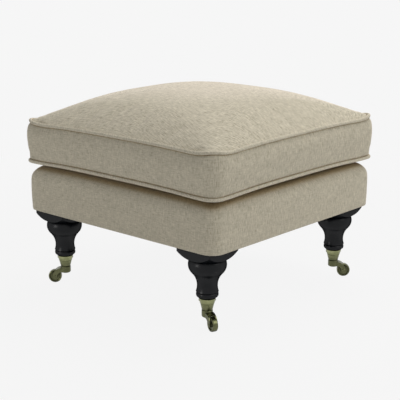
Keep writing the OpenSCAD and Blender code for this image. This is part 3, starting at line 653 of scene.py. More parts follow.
@dataclass(frozen=True)
class Finish:
    """A material. Each kind of finish draws its own nodes."""

    name: str

    def material(self) -> bpy.types.Material:
        """Builds the material once and finds it again later.

        Returns:
            The material.
        """
        found = bpy.data.materials.get(self.name)
        if found:
            return found
        made = bpy.data.materials.new(self.name)
        made.use_nodes = True
        self.draw(Sheet(made.node_tree), made.node_tree.nodes["Principled BSDF"])
        return made

    def draw(self, sheet: Sheet, shader: bpy.types.Node) -> None:
        """Draws the nodes that feed the shader."""
        raise NotImplementedError

    def dress(self, *pieces: bpy.types.Object) -> None:
        """Gives pieces this finish in place of what they have."""
        for piece in pieces:
            if not piece.material_slots:
                piece.data.materials.append(self.material())
            for slot in piece.material_slots:
                slot.material = self.material()


@dataclass(frozen=True)
class SlubCloth(Finish):
    """Oatmeal linen-mix covering cloth with slubs, in flat cloth coordinates."""

    light: Colour = (0.700, 0.650, 0.520, 1.0)
    middle: Colour = (0.490, 0.450, 0.350, 1.0)
    dark: Colour = (0.230, 0.205, 0.150, 1.0)
    pitch: float = 0.00125
    slub_length: float = 0.014
    slub_width: float = 0.0022
    slub_depth: float = 0.66
    side_slub_depth: float = 0.47
    # Painted shade: the warm dark tint the cloth takes where other surfaces are near, as under the cushion.
    fold_shade: Colour = (0.62, 0.50, 0.32, 1.0)
    fold_reach: float = 0.080
    # Painted sheen: the lighter, pinker tone that the cloth takes towards its outline.
    painted_rim_sheen: Colour = (1.33, 1.31, 1.38, 1.0)
    bias: float = 0.0

    def draw(self, sheet: Sheet, shader: bpy.types.Node) -> None:
        """Draws melange yarns, slubs, broad tone, painted shade near other surfaces, a painted sheen
        towards the outline and the bump of the threads.
        """
        cloth = sheet.add("UVMap", uv_map="cloth").outputs["UV"]
        if self.bias:
            cloth = sheet.give(sheet.add("Mapping"), Vector=cloth,
                               Rotation=(0, 0, math.radians(self.bias))).outputs["Vector"]
        turned = sheet.add("Attribute", attribute_name="slub_turn").outputs["Fac"]
        weave = PLAIN_WEAVE.place(sheet, Cloth=cloth, Pitch=self.pitch)
        slubs = SLUBS.place(sheet, Cloth=cloth, Turn=turned, Length=self.slub_length, Width=self.slub_width)
        depth = sheet.range(turned, 0.3, 0.5, self.slub_depth, self.side_slub_depth)
        colour = sheet.mix(sheet.range(weave["Tone"], 0.32, 0.68), self.dark, self.light)
        colour = sheet.mix(0.72, colour, self.middle)
        for share, tint in ((sheet.times(slubs["Light"], depth), self.light),
                            (sheet.times(slubs["Dark"], depth), self.dark),
                            (sheet.times(weave["Gap"], 0.35), self.dark)):
            colour = sheet.mix(share, colour, tint)
        toned = sheet.scaled(colour, sheet.range(slubs["Cloud"], 0.3, 0.7, 0.98, 1.02))
        # Painted shade: the cloth is darker and warmer where other surfaces are within reach.
        painted_shade_mask = sheet.range(sheet.openness(self.fold_reach), 0.80, 0.28)
        shaded = sheet.mix(painted_shade_mask, toned, sheet.mix(1.0, toned, self.fold_shade, how="MULTIPLY"))
        # Painted sheen: the colour is lifted towards the outline, mixed in below by the facing.
        rim_sheen_colour = sheet.mix(1.0, shaded, self.painted_rim_sheen, how="MULTIPLY")
        height = sheet.plus(weave["Height"], sheet.times(slubs["Light"], 0.5))
        sheet.give(shader, Base_Color=sheet.mix(sheet.range(sheet.facing(), 0.68, 0.93), shaded, rim_sheen_colour),
                   Normal=sheet.bump(height, 0.0003, 0.8), Roughness=0.88, Specular_IOR_Level=0.22,
                   Sheen_Weight=0.2, Sheen_Roughness=0.5, Sheen_Tint=(1.0, 0.96, 0.91, 1.0))


@dataclass(frozen=True)
class WovenCloth(Finish):
    """A plain woven cloth on Object coordinates, for linings, ticking, hessian and tapes."""

    thread: Colour
    shade: Colour
    pitch: float = 0.0008
    stripe: float = 0.0
    stripe_colour: Colour = (0.2, 0.25, 0.35, 1.0)
    depth: float = 0.0002

    def draw(self, sheet: Sheet, shader: bpy.types.Node) -> None:
        """Draws the threads and, where asked, a woven stripe."""
        place = sheet.place()
        weave = PLAIN_WEAVE.place(sheet, Cloth=place, Pitch=self.pitch)
        colour = sheet.mix(sheet.range(weave["Tone"], 0.3, 0.7), self.shade, self.thread)
        if self.stripe:
            band = sheet.maths("FRACT", sheet.maths("DIVIDE", sheet.split(place)[0], self.stripe))
            colour = sheet.mix(sheet.range(band, 0.16, 0.12), colour, self.stripe_colour)
        sheet.give(shader, Base_Color=sheet.mix(sheet.times(weave["Gap"], 0.6), colour, self.shade),
                   Normal=sheet.bump(weave["Height"], self.depth, 0.8), Roughness=0.9,
                   Specular_IOR_Level=0.2)


@dataclass(frozen=True)
class Fleece(Finish):
    """Felt, wadding, foam or a bonded black cloth: matted fibres or fine cells."""

    light: Colour
    dark: Colour
    scale: float = 260.0
    depth: float = 0.0005

    def draw(self, sheet: Sheet, shader: bpy.types.Node) -> None:
        """Draws fibres and soft clouds of tone."""
        place = sheet.place()
        fibres = sheet.noise(place, self.scale, 5.0, 0.65)
        tone = sheet.plus(sheet.times(fibres, 0.7), sheet.times(sheet.noise(place, self.scale / 12), 0.3))
        sheet.give(shader, Base_Color=sheet.mix(sheet.range(tone, 0.36, 0.64), self.dark, self.light),
                   Normal=sheet.bump(fibres, self.depth, 0.7), Roughness=0.95, Specular_IOR_Level=0.15)


@dataclass(frozen=True)
class Hardwood(Finish):
    """Planed pale hardwood, for the frame inside."""

    light: Colour = (0.52, 0.36, 0.20, 1.0)
    dark: Colour = (0.34, 0.21, 0.10, 1.0)

    def draw(self, sheet: Sheet, shader: bpy.types.Node) -> None:
        """Draws rings and pores along the grain."""
        grain = GRAIN.place(sheet, Place=sheet.place(), Scale=1.0)
        colour = sheet.mix(sheet.range(grain["Rings"], 0.1, 0.9), self.light, self.dark)
        sheet.give(shader, Base_Color=sheet.mix(sheet.times(grain["Pores"], 0.5), colour, self.dark),
                   Normal=sheet.bump(grain["Pores"], -0.0002, 0.5), Roughness=0.6)


@dataclass(frozen=True)
class BlackLacquer(Finish):
    """Satin black lacquer over turned wood."""

    black: Colour = (0.0025, 0.0032, 0.0045, 1.0)
    worn: Colour = (0.0050, 0.0056, 0.0070, 1.0)
    # Painted shade: the coat thins towards the outline, so the outline reflects less and looks darker.
    coat_facing: float = 0.42
    coat_edge: float = 0.03

    def draw(self, sheet: Sheet, shader: bpy.types.Node) -> None:
        """Draws faint grain and an uneven gloss, with painted shade: the coat is thinner in the recesses
        and at the outline.
        """
        place = sheet.place()
        marks = HANDLING.place(sheet, Place=place, Scale=1.0)
        x, y, z = sheet.split(place)
        grain = GRAIN.place(sheet, Place=sheet.vector(z, x, y), Scale=1.4)
        gloss = sheet.range(marks["Blotches"], 0.3, 0.7, 0.42, 0.52)
        # Painted shade: less coat, so less reflection, at the outline and where other surfaces are near.
        coat = sheet.times(sheet.range(sheet.facing(), 0.25, 0.8, self.coat_facing, self.coat_edge),
                           sheet.range(sheet.openness(0.012), 0.35, 0.9, 0.25, 1.0))
        height = sheet.plus(sheet.times(grain["Pores"], -0.6), sheet.times(marks["Blotches"], 0.5))
        colour = sheet.mix(sheet.range(marks["Blotches"], 0.4, 0.7), self.black, self.worn)
        sheet.give(shader, Base_Color=colour, Coat_Weight=coat, Coat_Roughness=0.30, Specular_IOR_Level=0.0,
                   Roughness=sheet.plus(gloss, sheet.times(marks["Specks"], 0.06)),
                   Normal=sheet.bump(height, 0.00012, 0.5))


@dataclass(frozen=True)
class AntiqueBrass(Finish):
    """Cast and turned brass with a greenish brown patina, bright where it is handled."""

    bright: Colour = (0.32, 0.33, 0.175, 1.0)
    patina: Colour = (0.20, 0.215, 0.105, 1.0)
    # Near black: used for the painted shade towards the floor and for the darkening in the recesses.
    recess: Colour = (0.022, 0.022, 0.012, 1.0)
    # Painted shade: the brass darkens below this height, towards the floor.
    shade_below: float = 0.072
    shade_depth: float = 0.66

    def draw(self, sheet: Sheet, shader: bpy.types.Node) -> None:
        """Draws patina, painted shade that darkens it towards the floor, darkening in the recesses, and
        fine turning marks.
        """
        place = sheet.place()
        marks = HANDLING.place(sheet, Place=place, Scale=1.6)
        # Painted shade: darker towards the floor.
        low = sheet.range(sheet.split(place)[2], self.shade_below, self.shade_below - 0.03, 0.0,
                          self.shade_depth)
        # Darker and rougher where other surfaces are near.
        hidden = sheet.range(sheet.openness(0.009), 0.90, 0.48)
        patina = sheet.times(sheet.range(marks["Blotches"], 0.36, 0.62), 0.75)
        colour = sheet.mix(low, sheet.mix(patina, self.bright, self.patina), self.recess)
        rough = sheet.range(marks["Specks"], 0.3, 0.7, 0.20, 0.34)
        sheet.give(shader, Base_Color=sheet.mix(sheet.times(hidden, 0.85), colour, self.recess),
                   Roughness=sheet.plus(rough, sheet.times(hidden, 0.2)),
                   Normal=sheet.bump(marks["Blotches"], 0.0003, 0.35), Metallic=1.0)


@dataclass(frozen=True)
class PlainMetal(Finish):
    """Zinc-plated, blued or nickel-plated steel."""

    light: Colour
    dark: Colour
    roughness: float = 0.35

    def draw(self, sheet: Sheet, shader: bpy.types.Node) -> None:
        """Draws plating blotches and drawing marks."""
        marks = HANDLING.place(sheet, Place=sheet.place(), Scale=1.2)
        rough = sheet.range(marks["Specks"], 0.3, 0.7, self.roughness - 0.06, self.roughness + 0.08)
        colour = sheet.mix(sheet.range(marks["Blotches"], 0.35, 0.65), self.dark, self.light)
        sheet.give(shader, Base_Color=colour, Roughness=rough, Metallic=1.0,
                   Normal=sheet.bump(marks["Scratches"], 0.0001, 0.4))


def rgb(red: float, green: float, blue: float) -> Colour:
    """An opaque colour."""
    return (red, green, blue, 1.0)


@dataclass(frozen=True)
class Wardrobe:
    """Every finish of the footstool, by the record's slots."""

    cover: SlubCloth = SlubCloth("oatmeal cloth")
    # The welt's yarns are lighter than the cover's: a painted highlight that makes the piping show as a
    # bright line.
    welt: SlubCloth = SlubCloth("oatmeal cloth on the bias", light=rgb(0.73, 0.68, 0.55),
                                middle=rgb(0.53, 0.487, 0.382), bias=45.0, slub_depth=0.4)
    platform: WovenCloth = WovenCloth("platform cloth", rgb(0.50, 0.46, 0.36), rgb(0.34, 0.31, 0.24),
                                      0.0009)
    ticking: WovenCloth = WovenCloth("ticking", rgb(0.76, 0.73, 0.66), rgb(0.6, 0.57, 0.5), 0.0006, 0.012)
    tape: WovenCloth = WovenCloth("zip tape", rgb(0.46, 0.42, 0.33), rgb(0.3, 0.27, 0.21), 0.0006)
    hessian: WovenCloth = WovenCloth("hessian", rgb(0.42, 0.29, 0.15), rgb(0.2, 0.13, 0.06), 0.0022,
                                     depth=0.0006)
    dust: Fleece = Fleece("bonded dust cloth", rgb(0.022, 0.022, 0.024), rgb(0.008, 0.008, 0.009), 420.0,
                          0.0002)
    felt: Fleece = Fleece("felt", rgb(0.78, 0.76, 0.71), rgb(0.58, 0.56, 0.52))
    foam: Fleece = Fleece("foam", rgb(0.80, 0.72, 0.44), rgb(0.62, 0.54, 0.30), 700.0, 0.0004)
    thread: WovenCloth = WovenCloth("sewing thread", rgb(0.46, 0.42, 0.33), rgb(0.33, 0.30, 0.23), 0.0004)
    wood: Hardwood = Hardwood("hardwood")
    lacquer: BlackLacquer = BlackLacquer("black lacquer")
    brass: AntiqueBrass = AntiqueBrass("antique brass")
    zinc: PlainMetal = PlainMetal("zinc-plated steel", rgb(0.62, 0.62, 0.60), rgb(0.42, 0.42, 0.40))
    spring_steel: PlainMetal = PlainMetal("spring steel", rgb(0.12, 0.12, 0.13), rgb(0.05, 0.05, 0.055),
                                          0.42)
    nickel: PlainMetal = PlainMetal("zip metal", rgb(0.60, 0.57, 0.50), rgb(0.42, 0.40, 0.34), 0.3)

    def by_slot(self) -> dict[str, Finish]:
        """The finish of each of the record's material slots."""
        return {
            "oatmeal_cloth": self.cover, "pad_ticking": self.ticking, "zip_tape": self.tape,
            "zip_metal": self.nickel, "hardwood": self.wood, "zinc_steel": self.zinc,
            "spring_steel": self.spring_steel, "hessian": self.hessian, "felt": self.felt,
            "foam": self.foam, "platform_cloth": self.platform, "dust_cloth": self.dust,
            "black_lacquer": self.lacquer, "antique_brass": self.brass,
        }


# Studio


@dataclass(frozen=True)
class SoftBox:
    """A square area lamp that faces a point."""

    name: str
    place: tuple[float, float, float]
    size: float
    power: float
    colour: tuple[float, float, float] = (1.0, 1.0, 1.0)
    target: tuple[float, float, float] = (0.0, 0.0, 0.25)

    def hang(self) -> None:
        """Adds the lamp."""
        lamp = bpy.data.lights.new(self.name, "AREA")
        lamp.size = self.size
        lamp.energy = self.power
        lamp.color = self.colour
        obj = bpy.data.objects.new(self.name, lamp)
        obj.location = self.place
        aim = Vector(self.target) - Vector(self.place)
        obj.rotation_euler = aim.to_track_quat("-Z", "Y").to_euler()
        bpy.context.scene.collection.objects.link(obj)


@dataclass(frozen=True)
class Studio:
    """Camera, pale floor and plain soft light."""

    azimuth: float = 41.4383
    elevation: float = 14.5923
    distance: float = 2.613
    roll: float = 0.1585
    lens: float = 96.322
    aim: tuple[float, float, float] = (0.0, 0.0, 0.2)
    beside_aim: tuple[float, float] = (-0.0021, 0.0014)
    backdrop: float = 0.922
    fill: float = 0.31
    floor_size: float = 60.0
    shadow_share: float = 0.035
    shadow_reach: float = 1.6

    def set_camera(self) -> None:
        """Puts the camera at the photograph's viewing angle."""
        camera = bpy.data.cameras.new("camera")
        camera.lens = self.lens
        camera.clip_end = 100.0
        obj = bpy.data.objects.new("camera", camera)
        a, e, r = (math.radians(angle) for angle in (self.azimuth, self.elevation, self.roll))
        back = Vector((math.sin(a) * math.cos(e), -math.cos(a) * math.cos(e), math.sin(e)))
        right = Vector((math.cos(a), math.sin(a), 0.0))
        up = back.cross(right)
        across, above = self.beside_aim
        obj.location = Vector(self.aim) + right * across + up * above + back * self.distance
        axes = (right * math.cos(r) + up * math.sin(r), up * math.cos(r) - right * math.sin(r), back)
        obj.rotation_euler = Matrix(axes).transposed().to_euler()
        bpy.context.scene.collection.objects.link(obj)
        bpy.context.scene.camera = obj

    def light(self) -> None:
        """Hangs the soft boxes and sets the world's even fill and the pale backdrop."""
        SoftBox("soft box right", (2.3, 0.5, 1.9), 1.6, 26.0, (1.0, 0.985, 0.96)).hang()
        SoftBox("soft box above", (-0.1, 1.3, 2.9), 2.0, 64.0, (1.0, 0.978, 0.955)).hang()
        SoftBox("soft box left", (-0.8, -2.8, 0.50), 0.7, 12.0, (1.0, 0.98, 0.975)).hang()
        world = bpy.data.worlds.new("studio")
        bpy.context.scene.world = world
        world.use_nodes = True
        sheet = Sheet(world.node_tree)
        seen = self.seen_directly(sheet)
        sheet.give(world.node_tree.nodes["Background"],
                   Color=sheet.mix(seen, grey(1.0), grey(self.backdrop)),
                   Strength=sheet.mix(seen, self.fill, 1.0, "FLOAT"))

    @staticmethod
    def seen_directly(sheet: Sheet) -> bpy.types.NodeSocket:
        """1 for rays from the camera, from gloss and through glass."""
        path = sheet.add("LightPath").outputs
        rays = sheet.plus(path["Is Camera Ray"], path["Is Glossy Ray"])
        return sheet.maths("ADD", rays, path["Is Transmission Ray"], clamp=True)

    def lay_floor(self) -> None:
        """Lays a pale floor that keeps a faint shadow near the footstool."""
        deselect_all()
        bpy.ops.mesh.primitive_circle_add(vertices=96, radius=self.floor_size, fill_type="NGON")
        floor = new_piece("studio_floor")
        made = bpy.data.materials.new("pale floor")
        made.use_nodes = True
        tree = made.node_tree
        sheet = Sheet(tree)
        tree.nodes.remove(tree.nodes["Principled BSDF"])

        def blend(share: object, first: object, second: object) -> Socket:
            """One Mix Shader node."""
            return sheet.give_in_order(sheet.add("MixShader"), share, first, second).outputs[0]

        diffuse = sheet.give(sheet.add("BsdfDiffuse"), Color=grey(0.8)).outputs[0]
        glow = sheet.give(sheet.add("Emission"), Color=grey(self.backdrop)).outputs[0]
        x, y, _ = sheet.split(sheet.place())
        reach = sheet.give_in_order(sheet.add("VectorMath", operation="LENGTH"), sheet.vector(x, y))
        near = sheet.range(reach.outputs["Value"], self.shadow_reach, 0.5, 0.0, self.shadow_share)
        above = blend(self.seen_directly(sheet), diffuse, blend(near, glow, diffuse))
        below = sheet.add("BsdfTransparent").outputs[0]
        both = blend(sheet.add("NewGeometry").outputs["Backfacing"], above, below)
        sheet.give(tree.nodes["Material Output"], Surface=both)
        floor.data.materials.append(made)


# Cloth coordinates


def draw_cloth_map(obj: bpy.types.Object,
                   flat: Callable[[bpy.types.MeshPolygon, int], tuple[float, float]]) -> None:
    """Gives a piece its flat cloth coordinates, in metres.

    Args:
        obj: The piece.
        flat: Gives the coordinates of a face's corner, from the face and the vertex's number.
    """
    layer = obj.data.uv_layers.get("cloth") or obj.data.uv_layers.new(name="cloth")
    for polygon in obj.data.polygons:
        for loop, vertex in zip(polygon.loop_indices, polygon.vertices):
            layer.data[loop].uv = flat(polygon, vertex)
    for other in [x for x in obj.data.uv_layers if x.name != "cloth"]:
        obj.data.uv_layers.remove(other)


def draw_slub_turn(obj: bpy.types.Object, turns: Sequence[float]) -> None:
    """Stores where the slubs run along V in place of U, one number for each vertex."""
    attribute = obj.data.attributes.new("slub_turn", "FLOAT", "POINT")
    attribute.data.foreach_set("value", list(turns))


def off_corner(spots: Sequence[tuple[float, float, int]], polygon: bpy.types.MeshPolygon,
               index: int) -> tuple[float, float]:
    """A vertex's place on the unit square, moved off an exact corner towards its face's own side.

    Args:
        spots: Each vertex's place on the box that it was laid out on.
        polygon: The face.
        index: The vertex's number.

    Returns:
        The place on the unit square.
    """
    a, b, _ = spots[index]
    if abs(abs(a) - abs(b)) > 1e-6:
        return a, b
    middle = [sum(spots[i][k] for i in polygon.vertices) for k in (0, 1)]
    nearly = 1 - 1e-6
    return (a, b * nearly) if abs(middle[0]) > abs(middle[1]) else (a * nearly, b)


def slub_share(point: RimPoint) -> float:
    """Share of the slubs that run up and down on an upright face: more on the sides than at the front."""
    sideways = blend_between(0.3, 0.7, point.nx ** 2)
    return FRONT_SLUB_SHARE + (SIDE_SLUB_SHARE - FRONT_SLUB_SHARE) * sideways


# Cushion


@dataclass
class BoxCushion:
    """The loose cushion: crowned top, boxing, underside, piping and the zip at the back."""

    wardrobe: Wardrobe
    half: float = 0.300
    upper_corner_r: float = 0.036
    lower_corner_r: float = 0.025
    draw_in: float = 0.003
    seam_rise: float = 0.005
    seam_gap: float = 0.0003
    upper_seam_shift: float = -0.0022
    lower_seam_shift: float = 0.0010
    upper_corner_lift: float = 0.0066
    lower_corner_lift: float = 0.002
    lift_reach: float = 0.036
    puff: float = 0.0044
    puff_reach: float = 0.009
    lean: float = 0.0030
    lean_loss: float = 0.8
    rise_power: float = 1.2
    wave_fade_power: int = 3
    ring_crowding: float = 1.35
    cord_r: float = 0.003
    piping_r: float = 0.0041
    panel_rise_share: float = 0.15
    panel_inset_share: float = 1.99
    piping_unevenness: float = 0.02
    boxing_bulge: float = 0.0080
    bulge_power: float = 0.55
    crown_power: float = 2.96
    crown_steepness: float = 0.95
    crown_start: float = 0.88
    crown_drop: float = 0.001
    top_slub_turn: float = 0.24
    flat_share: float = 0.9
    swell_steps: int = 20
    pucker_depth: float = 0.0012
    pucker_layers: NoiseLayers = ((62.0, 0.7, (0, 0, 0)), (26.0, 0.6, (3, 1, 7)))
    pucker_reach: float = 0.016
    zip_margin: float = 0.02
    slot_clearance: float = 0.002
    slot_turn_in: float = 0.0035
    cells: int = 72
    boxing_rows: tuple[float, ...] = (0.0, 0.07, 0.14, 0.21, 0.28, 0.35, 0.405, 0.5, 0.595, 0.65, 0.72,
                                      0.79, 0.86, 0.93, 1.0)
    body: str = "cushion"

    def __post_init__(self) -> None:
        """Takes the heights of the seams, the crown and the deck from the frame."""
        upper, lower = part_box("cushion_piping_top"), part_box("cushion_piping_bottom")
        self.seam_high = upper[0].z + self.cord_r + self.upper_seam_shift
        self.seam_low = lower[0].z + self.cord_r + self.lower_seam_shift
        self.crown_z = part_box("cushion_top_panel")[1].z
        self.under_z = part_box("cushion_bottom_panel")[0].z
        self.zip_low, self.zip_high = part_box("cushion_zip")
        self.panel_edge = self.panel_rise_share * self.piping_r
        self.edge_in = self.panel_inset_share * self.piping_r
        self.seam_in = self.piping_r + self.seam_gap
        self.seam_step = self.piping_r + 0.1 * MM
        self.tuck_in = 2 * self.piping_r + 2 * self.seam_gap
        self.rows = len(self.boxing_rows) + 3
        down = (0.0, 0.0, *self.boxing_rows, 1.0, 1.0)
        narrowing = self.lower_corner_r - self.upper_corner_r
        self.plans = [RoundedSquare(self.half, self.upper_corner_r + narrowing * w, self.draw_in)
                      for w in down]

    def wave(self, point: RimPoint, down: float) -> float:
        """How much the cloth is lifted at a rim point.

        Args:
            point: The rim point.
            down: How far down the band it lies, from 0 at the upper seam to 1 at the lower one.

        Returns:
            The lift, which is a rise along each side, raised corners and the cushion's slight lean.
        """
        corner = self.upper_corner_lift + (self.lower_corner_lift - self.upper_corner_lift) * down
        lean = self.lean * (1 - self.lean_loss * down) * (point.x + point.y) / (2 * self.half)
        return (corner * math.exp(-(point.from_corner / self.lift_reach) ** 2) + lean
                + self.seam_rise * math.sin(math.pi / 2 * point.side_wave ** self.rise_power))

    def dome(self, x: float, y: float) -> float:
        """1 in the middle of the cushion and 0 at its sides."""
        return ((1 - (abs(x) / self.half) ** self.crown_power)
                * (1 - (abs(y) / self.half) ** self.crown_power))

    def crown(self, share: float, x: float, y: float) -> float:
        """Rise of the crown, from 0 at the seam to 1 in the middle."""
        rise = self.dome(share * x, share * y) - share ** 8 * self.dome(x, y)
        return max(0.0, rise) ** self.crown_steepness

    def share_of(self, rim: float) -> float:
        """Spreads the rings of the grid so that they lie closer near the seam."""
        return 1 - (1 - rim) ** self.ring_crowding

    def place_on_top(self, a: float, b: float) -> Vector:
        """Place of a point of the top's grid."""
        rim = max(abs(a), abs(b))
        if rim < 1e-6:
            return Vector((0, 0, self.base_of_crown() + self.crown_height()))
        point = self.plans[0].rim(a / rim, b / rim)
        share = self.share_of(rim)
        x, y = point.moved(-self.edge_in)
        puff = self.puff * (1 - math.exp(-(1 - share) * self.half / self.puff_reach))
        z = (self.base_of_crown() + puff + (self.crown_height() - self.puff) * self.crown(share, x, y)
             + self.wave(point, 0.0) * share ** self.wave_fade_power)
        return Vector((share * x, share * y, z))

    def region(self, level: int) -> Region:
        """The stretch of the cover that a level of the box belongs to."""
        if level == 0:
            return Region.TOP
        return Region.UNDER if level == self.rows else Region.BAND

    def base_of_crown(self) -> float:
        """Height of the top panel's edge."""
        return self.seam_high + self.panel_edge

    def crown_height(self) -> float:
        """Rise of the crown before it is swollen."""
        return self.crown_start * (self.crown_z - self.base_of_crown())

    def place_underneath(self, a: float, b: float) -> Vector:
        """Place of a point of the underside's grid: flat, then turning up to the seam."""
        rim = max(abs(a), abs(b))
        if rim < 1e-6:
            return Vector((0, 0, self.under_z))
        point = self.plans[-1].rim(a / rim, b / rim)
        share = self.share_of(rim)
        x, y = point.moved(-self.edge_in)
        turn_up = max(0.0, (share - self.flat_share) / (1 - self.flat_share)) ** 2
        edge = self.seam_low - self.panel_edge + self.wave(point, 1.0)
        return Vector((share * x, share * y, self.under_z + (edge - self.under_z) * turn_up))

    def place_on_band(self, a: float, b: float, level: int) -> Vector:
        """Place of a point of the band between the two panels, seam tucks included."""
        point = self.plans[level].rim(a, b)
        down = min(1.0, max(0.0, (level - 2) / (self.rows - 4)))
        wave = self.wave(point, down)
        if level in (1, self.rows - 1):
            x, y = point.moved(-self.tuck_in)
            return Vector((x, y, (self.seam_high if level == 1 else self.seam_low) + wave))
        w = self.boxing_rows[level - 2]
        out = -self.seam_in + self.boxing_bulge * math.sin(math.pi * w ** self.bulge_power)
        x, y = point.moved(out)
        high, low = self.seam_high - self.seam_step, self.seam_low + self.seam_step
        return Vector((x, y, high + (low - high) * w + wave))

    def build_cover(self) -> bpy.types.Object:
        """Builds the closed cover, swells it and gives it its cloth coordinates.

        Returns:
            The cover.
        """
        obj = lay_out_box("cushion_cover", self.cells, self.rows)
        mesh = obj.data
        spots = [(v.co.x, v.co.y, round(-v.co.z)) for v in mesh.vertices]
        turns, held = [], []
        for vertex, (a, b, level) in zip(mesh.vertices, spots):
            if level == 0:
                vertex.co = self.place_on_top(a, b)
            elif level == self.rows:
                vertex.co = self.place_underneath(a, b)
            else:
                vertex.co = self.place_on_band(a, b, level)
            on_band = self.region(level) is Region.BAND
            turns.append(slub_share(self.plans[level].rim(a, b)) if on_band else self.top_slub_turn)
            rim = max(abs(a), abs(b)) > NEARLY_ONE
            near_seam = level in (1, 2, self.rows - 2, self.rows - 1) or (rim and level in (0, self.rows))
            by_zip = (on_band and vertex.co.y > 0 and abs(vertex.co.x) < self.zip_high.x + self.zip_margin
                      and abs(vertex.co.z - (self.zip_low.z + self.zip_high.z) / 2) < self.zip_margin)
            if near_seam or by_zip or level == self.rows:
                held.append(vertex.index)
        draw_slub_turn(obj, turns)
        self.draw_cover_map(obj, spots)
        self.swell(obj, held, [self.region(level).swell_cap for _, _, level in spots])
        finish_with(obj, "SUBSURF", levels=1, render_levels=1)
        self.pucker(obj)
        self.cut_zip_slot(obj)
        smooth(obj, 75.0)
        return obj

    def cut_zip_slot(self, obj: bpy.types.Object) -> None:
        """Cuts the slot for the zip in the back of the boxing and turns its edges in."""
        end, back = self.zip_high.x + self.slot_clearance, self.half - self.zip_margin
        low, high = self.zip_low.z, self.zip_high.z

        def select_back(around: float) -> None:
            """Selects the back's faces at the slot and a little around it."""
            select_faces(obj, lambda face: face.center.y > back and abs(face.center.x) < end + around
                         and low - around < face.center.z < high + around)

        for place, normal in (((0, 0, low), (0, 0, 1)), ((0, 0, high), (0, 0, 1)),
                              ((-end, 0, 0), (1, 0, 0)), ((end, 0, 0), (1, 0, 0))):
            select_back(self.zip_margin)
            bpy.ops.mesh.bisect(plane_co=place, plane_no=normal)
        select_back(0.0)
        bpy.ops.mesh.delete(type="FACE")
        bpy.ops.mesh.select_mode(type="EDGE")
        bpy.ops.mesh.select_non_manifold(extend=False)
        bpy.ops.mesh.extrude_edges_move(TRANSFORM_OT_translate={"value": (0, -self.slot_turn_in, 0)})
        stop_editing()

    def draw_cover_map(self, obj: bpy.types.Object, spots: Sequence[tuple[float, float, int]]) -> None:
        """Lays the cloth on the cover: panels by their arc length, boxing by its run.

        Args:
            obj: The cover, with its vertices in place.
            spots: Each vertex's place on the box that it was laid out on.
        """
        reach = [self.half * self.radial_length(max(abs(a), abs(b)), level) for a, b, level in spots]

        def flat(polygon: bpy.types.MeshPolygon, index: int) -> tuple[float, float]:
            """Place on the flat cloth, with the panels and the boxing side by side."""
            levels = [spots[i][2] for i in polygon.vertices]
            place = obj.data.vertices[index].co
            if max(levels) == 0 or min(levels) == self.rows:
                plan = math.hypot(place.x, place.y)
                stretch = reach[index] / plan if plan > 1e-6 else 1.0
                shift = 3.0 if spots[index][2] else 0.0
                return place.x * stretch + shift, place.y * stretch
            return self.plans[0].rim(*off_corner(spots, polygon, index)).along + 6.0, place.z

        draw_cloth_map(obj, flat)

    def radial_length(self, rim: float, level: int) -> float:
        """Length over the cloth from the middle of a panel to a ring, as a share of the half width."""
        if level:
            return self.share_of(rim)
        steps = max(1, round(rim * 24))
        places = [self.place_on_top(rim * k / steps, 0.0) for k in range(steps + 1)]
        return sum((p - q).length for p, q in zip(places, places[1:])) / self.half

    def swell(self, obj: bpy.types.Object, held: Sequence[int], caps: Sequence[float]) -> None:
        """Blows the cover up like a filled cushion, with its seams held.

        Args:
            obj: The cover.
            held: Numbers of the vertices that stay in place.
            caps: How far each vertex may move.
        """
        start = [v.co.copy() for v in obj.data.vertices]
        group = obj.vertex_groups.new(name="held")
        group.add(list(held), 1.0, "REPLACE")
        cloth = obj.modifiers.new("Cloth", "CLOTH")
        settings = cloth.settings
        settings.quality = 6
        settings.mass = 0.3
        settings.tension_stiffness = settings.compression_stiffness = 18.0
        settings.shear_stiffness = 8.0
        settings.bending_stiffness = 0.6
        settings.vertex_group_mass = "held"
        settings.use_pressure = True
        settings.uniform_pressure_force = 4.0
        settings.shrink_min = -0.012
        settings.effector_weights.gravity = 0.0
        cloth.collision_settings.use_collision = False
        scene = bpy.context.scene
        cloth.point_cache.frame_start, cloth.point_cache.frame_end = 1, self.swell_steps
        for number in range(1, self.swell_steps + 1):
            scene.frame_set(number)
        choose(obj)
        bpy.ops.object.modifier_apply(modifier=cloth.name)
        scene.frame_set(1)
        obj.vertex_groups.clear()
        for vertex, origin, cap in zip(obj.data.vertices, start, caps):
            shift = vertex.co - origin
            if shift.length > cap:
                shift = shift.normalized() * cap
            vertex.co = origin + shift
            vertex.co.z = max(vertex.co.z, self.under_z)
        self.settle(obj)

    def settle(self, obj: bpy.types.Object) -> None:
        """Brings the swollen crown to the height of the finished cushion."""
        foot = self.base_of_crown() + self.seam_rise + self.lean
        reached = max(v.co.z for v in obj.data.vertices)
        crown_z = self.crown_z - self.crown_drop
        share = (crown_z - foot) / (reached - foot)
        LOG.info("crown swelled to %.1f mm, settled to %.1f mm", reached / MM, crown_z / MM)
        for vertex in obj.data.vertices:
            if vertex.co.z > foot:
                vertex.co.z = foot + (vertex.co.z - foot) * share

    def pucker(self, obj: bpy.types.Object) -> None:
        """Draws the cloth in a little along the seams, where the stitches hold it."""

        def ripple(place: Vector) -> float:
            """How far the cloth stands out, most near a seam."""
            if place.z <= self.under_z + 1 * MM:
                return 0.0
            edge = self.half - max(abs(place.x), abs(place.y))
            from_seam = min(abs(place.z - self.seam_high), abs(place.z - self.seam_low))
            near = math.exp(-math.hypot(max(0.0, edge), from_seam) / self.pucker_reach)
            return self.pucker_depth * near * layered_noise(place, self.pucker_layers)

        push_out(obj, ripple)

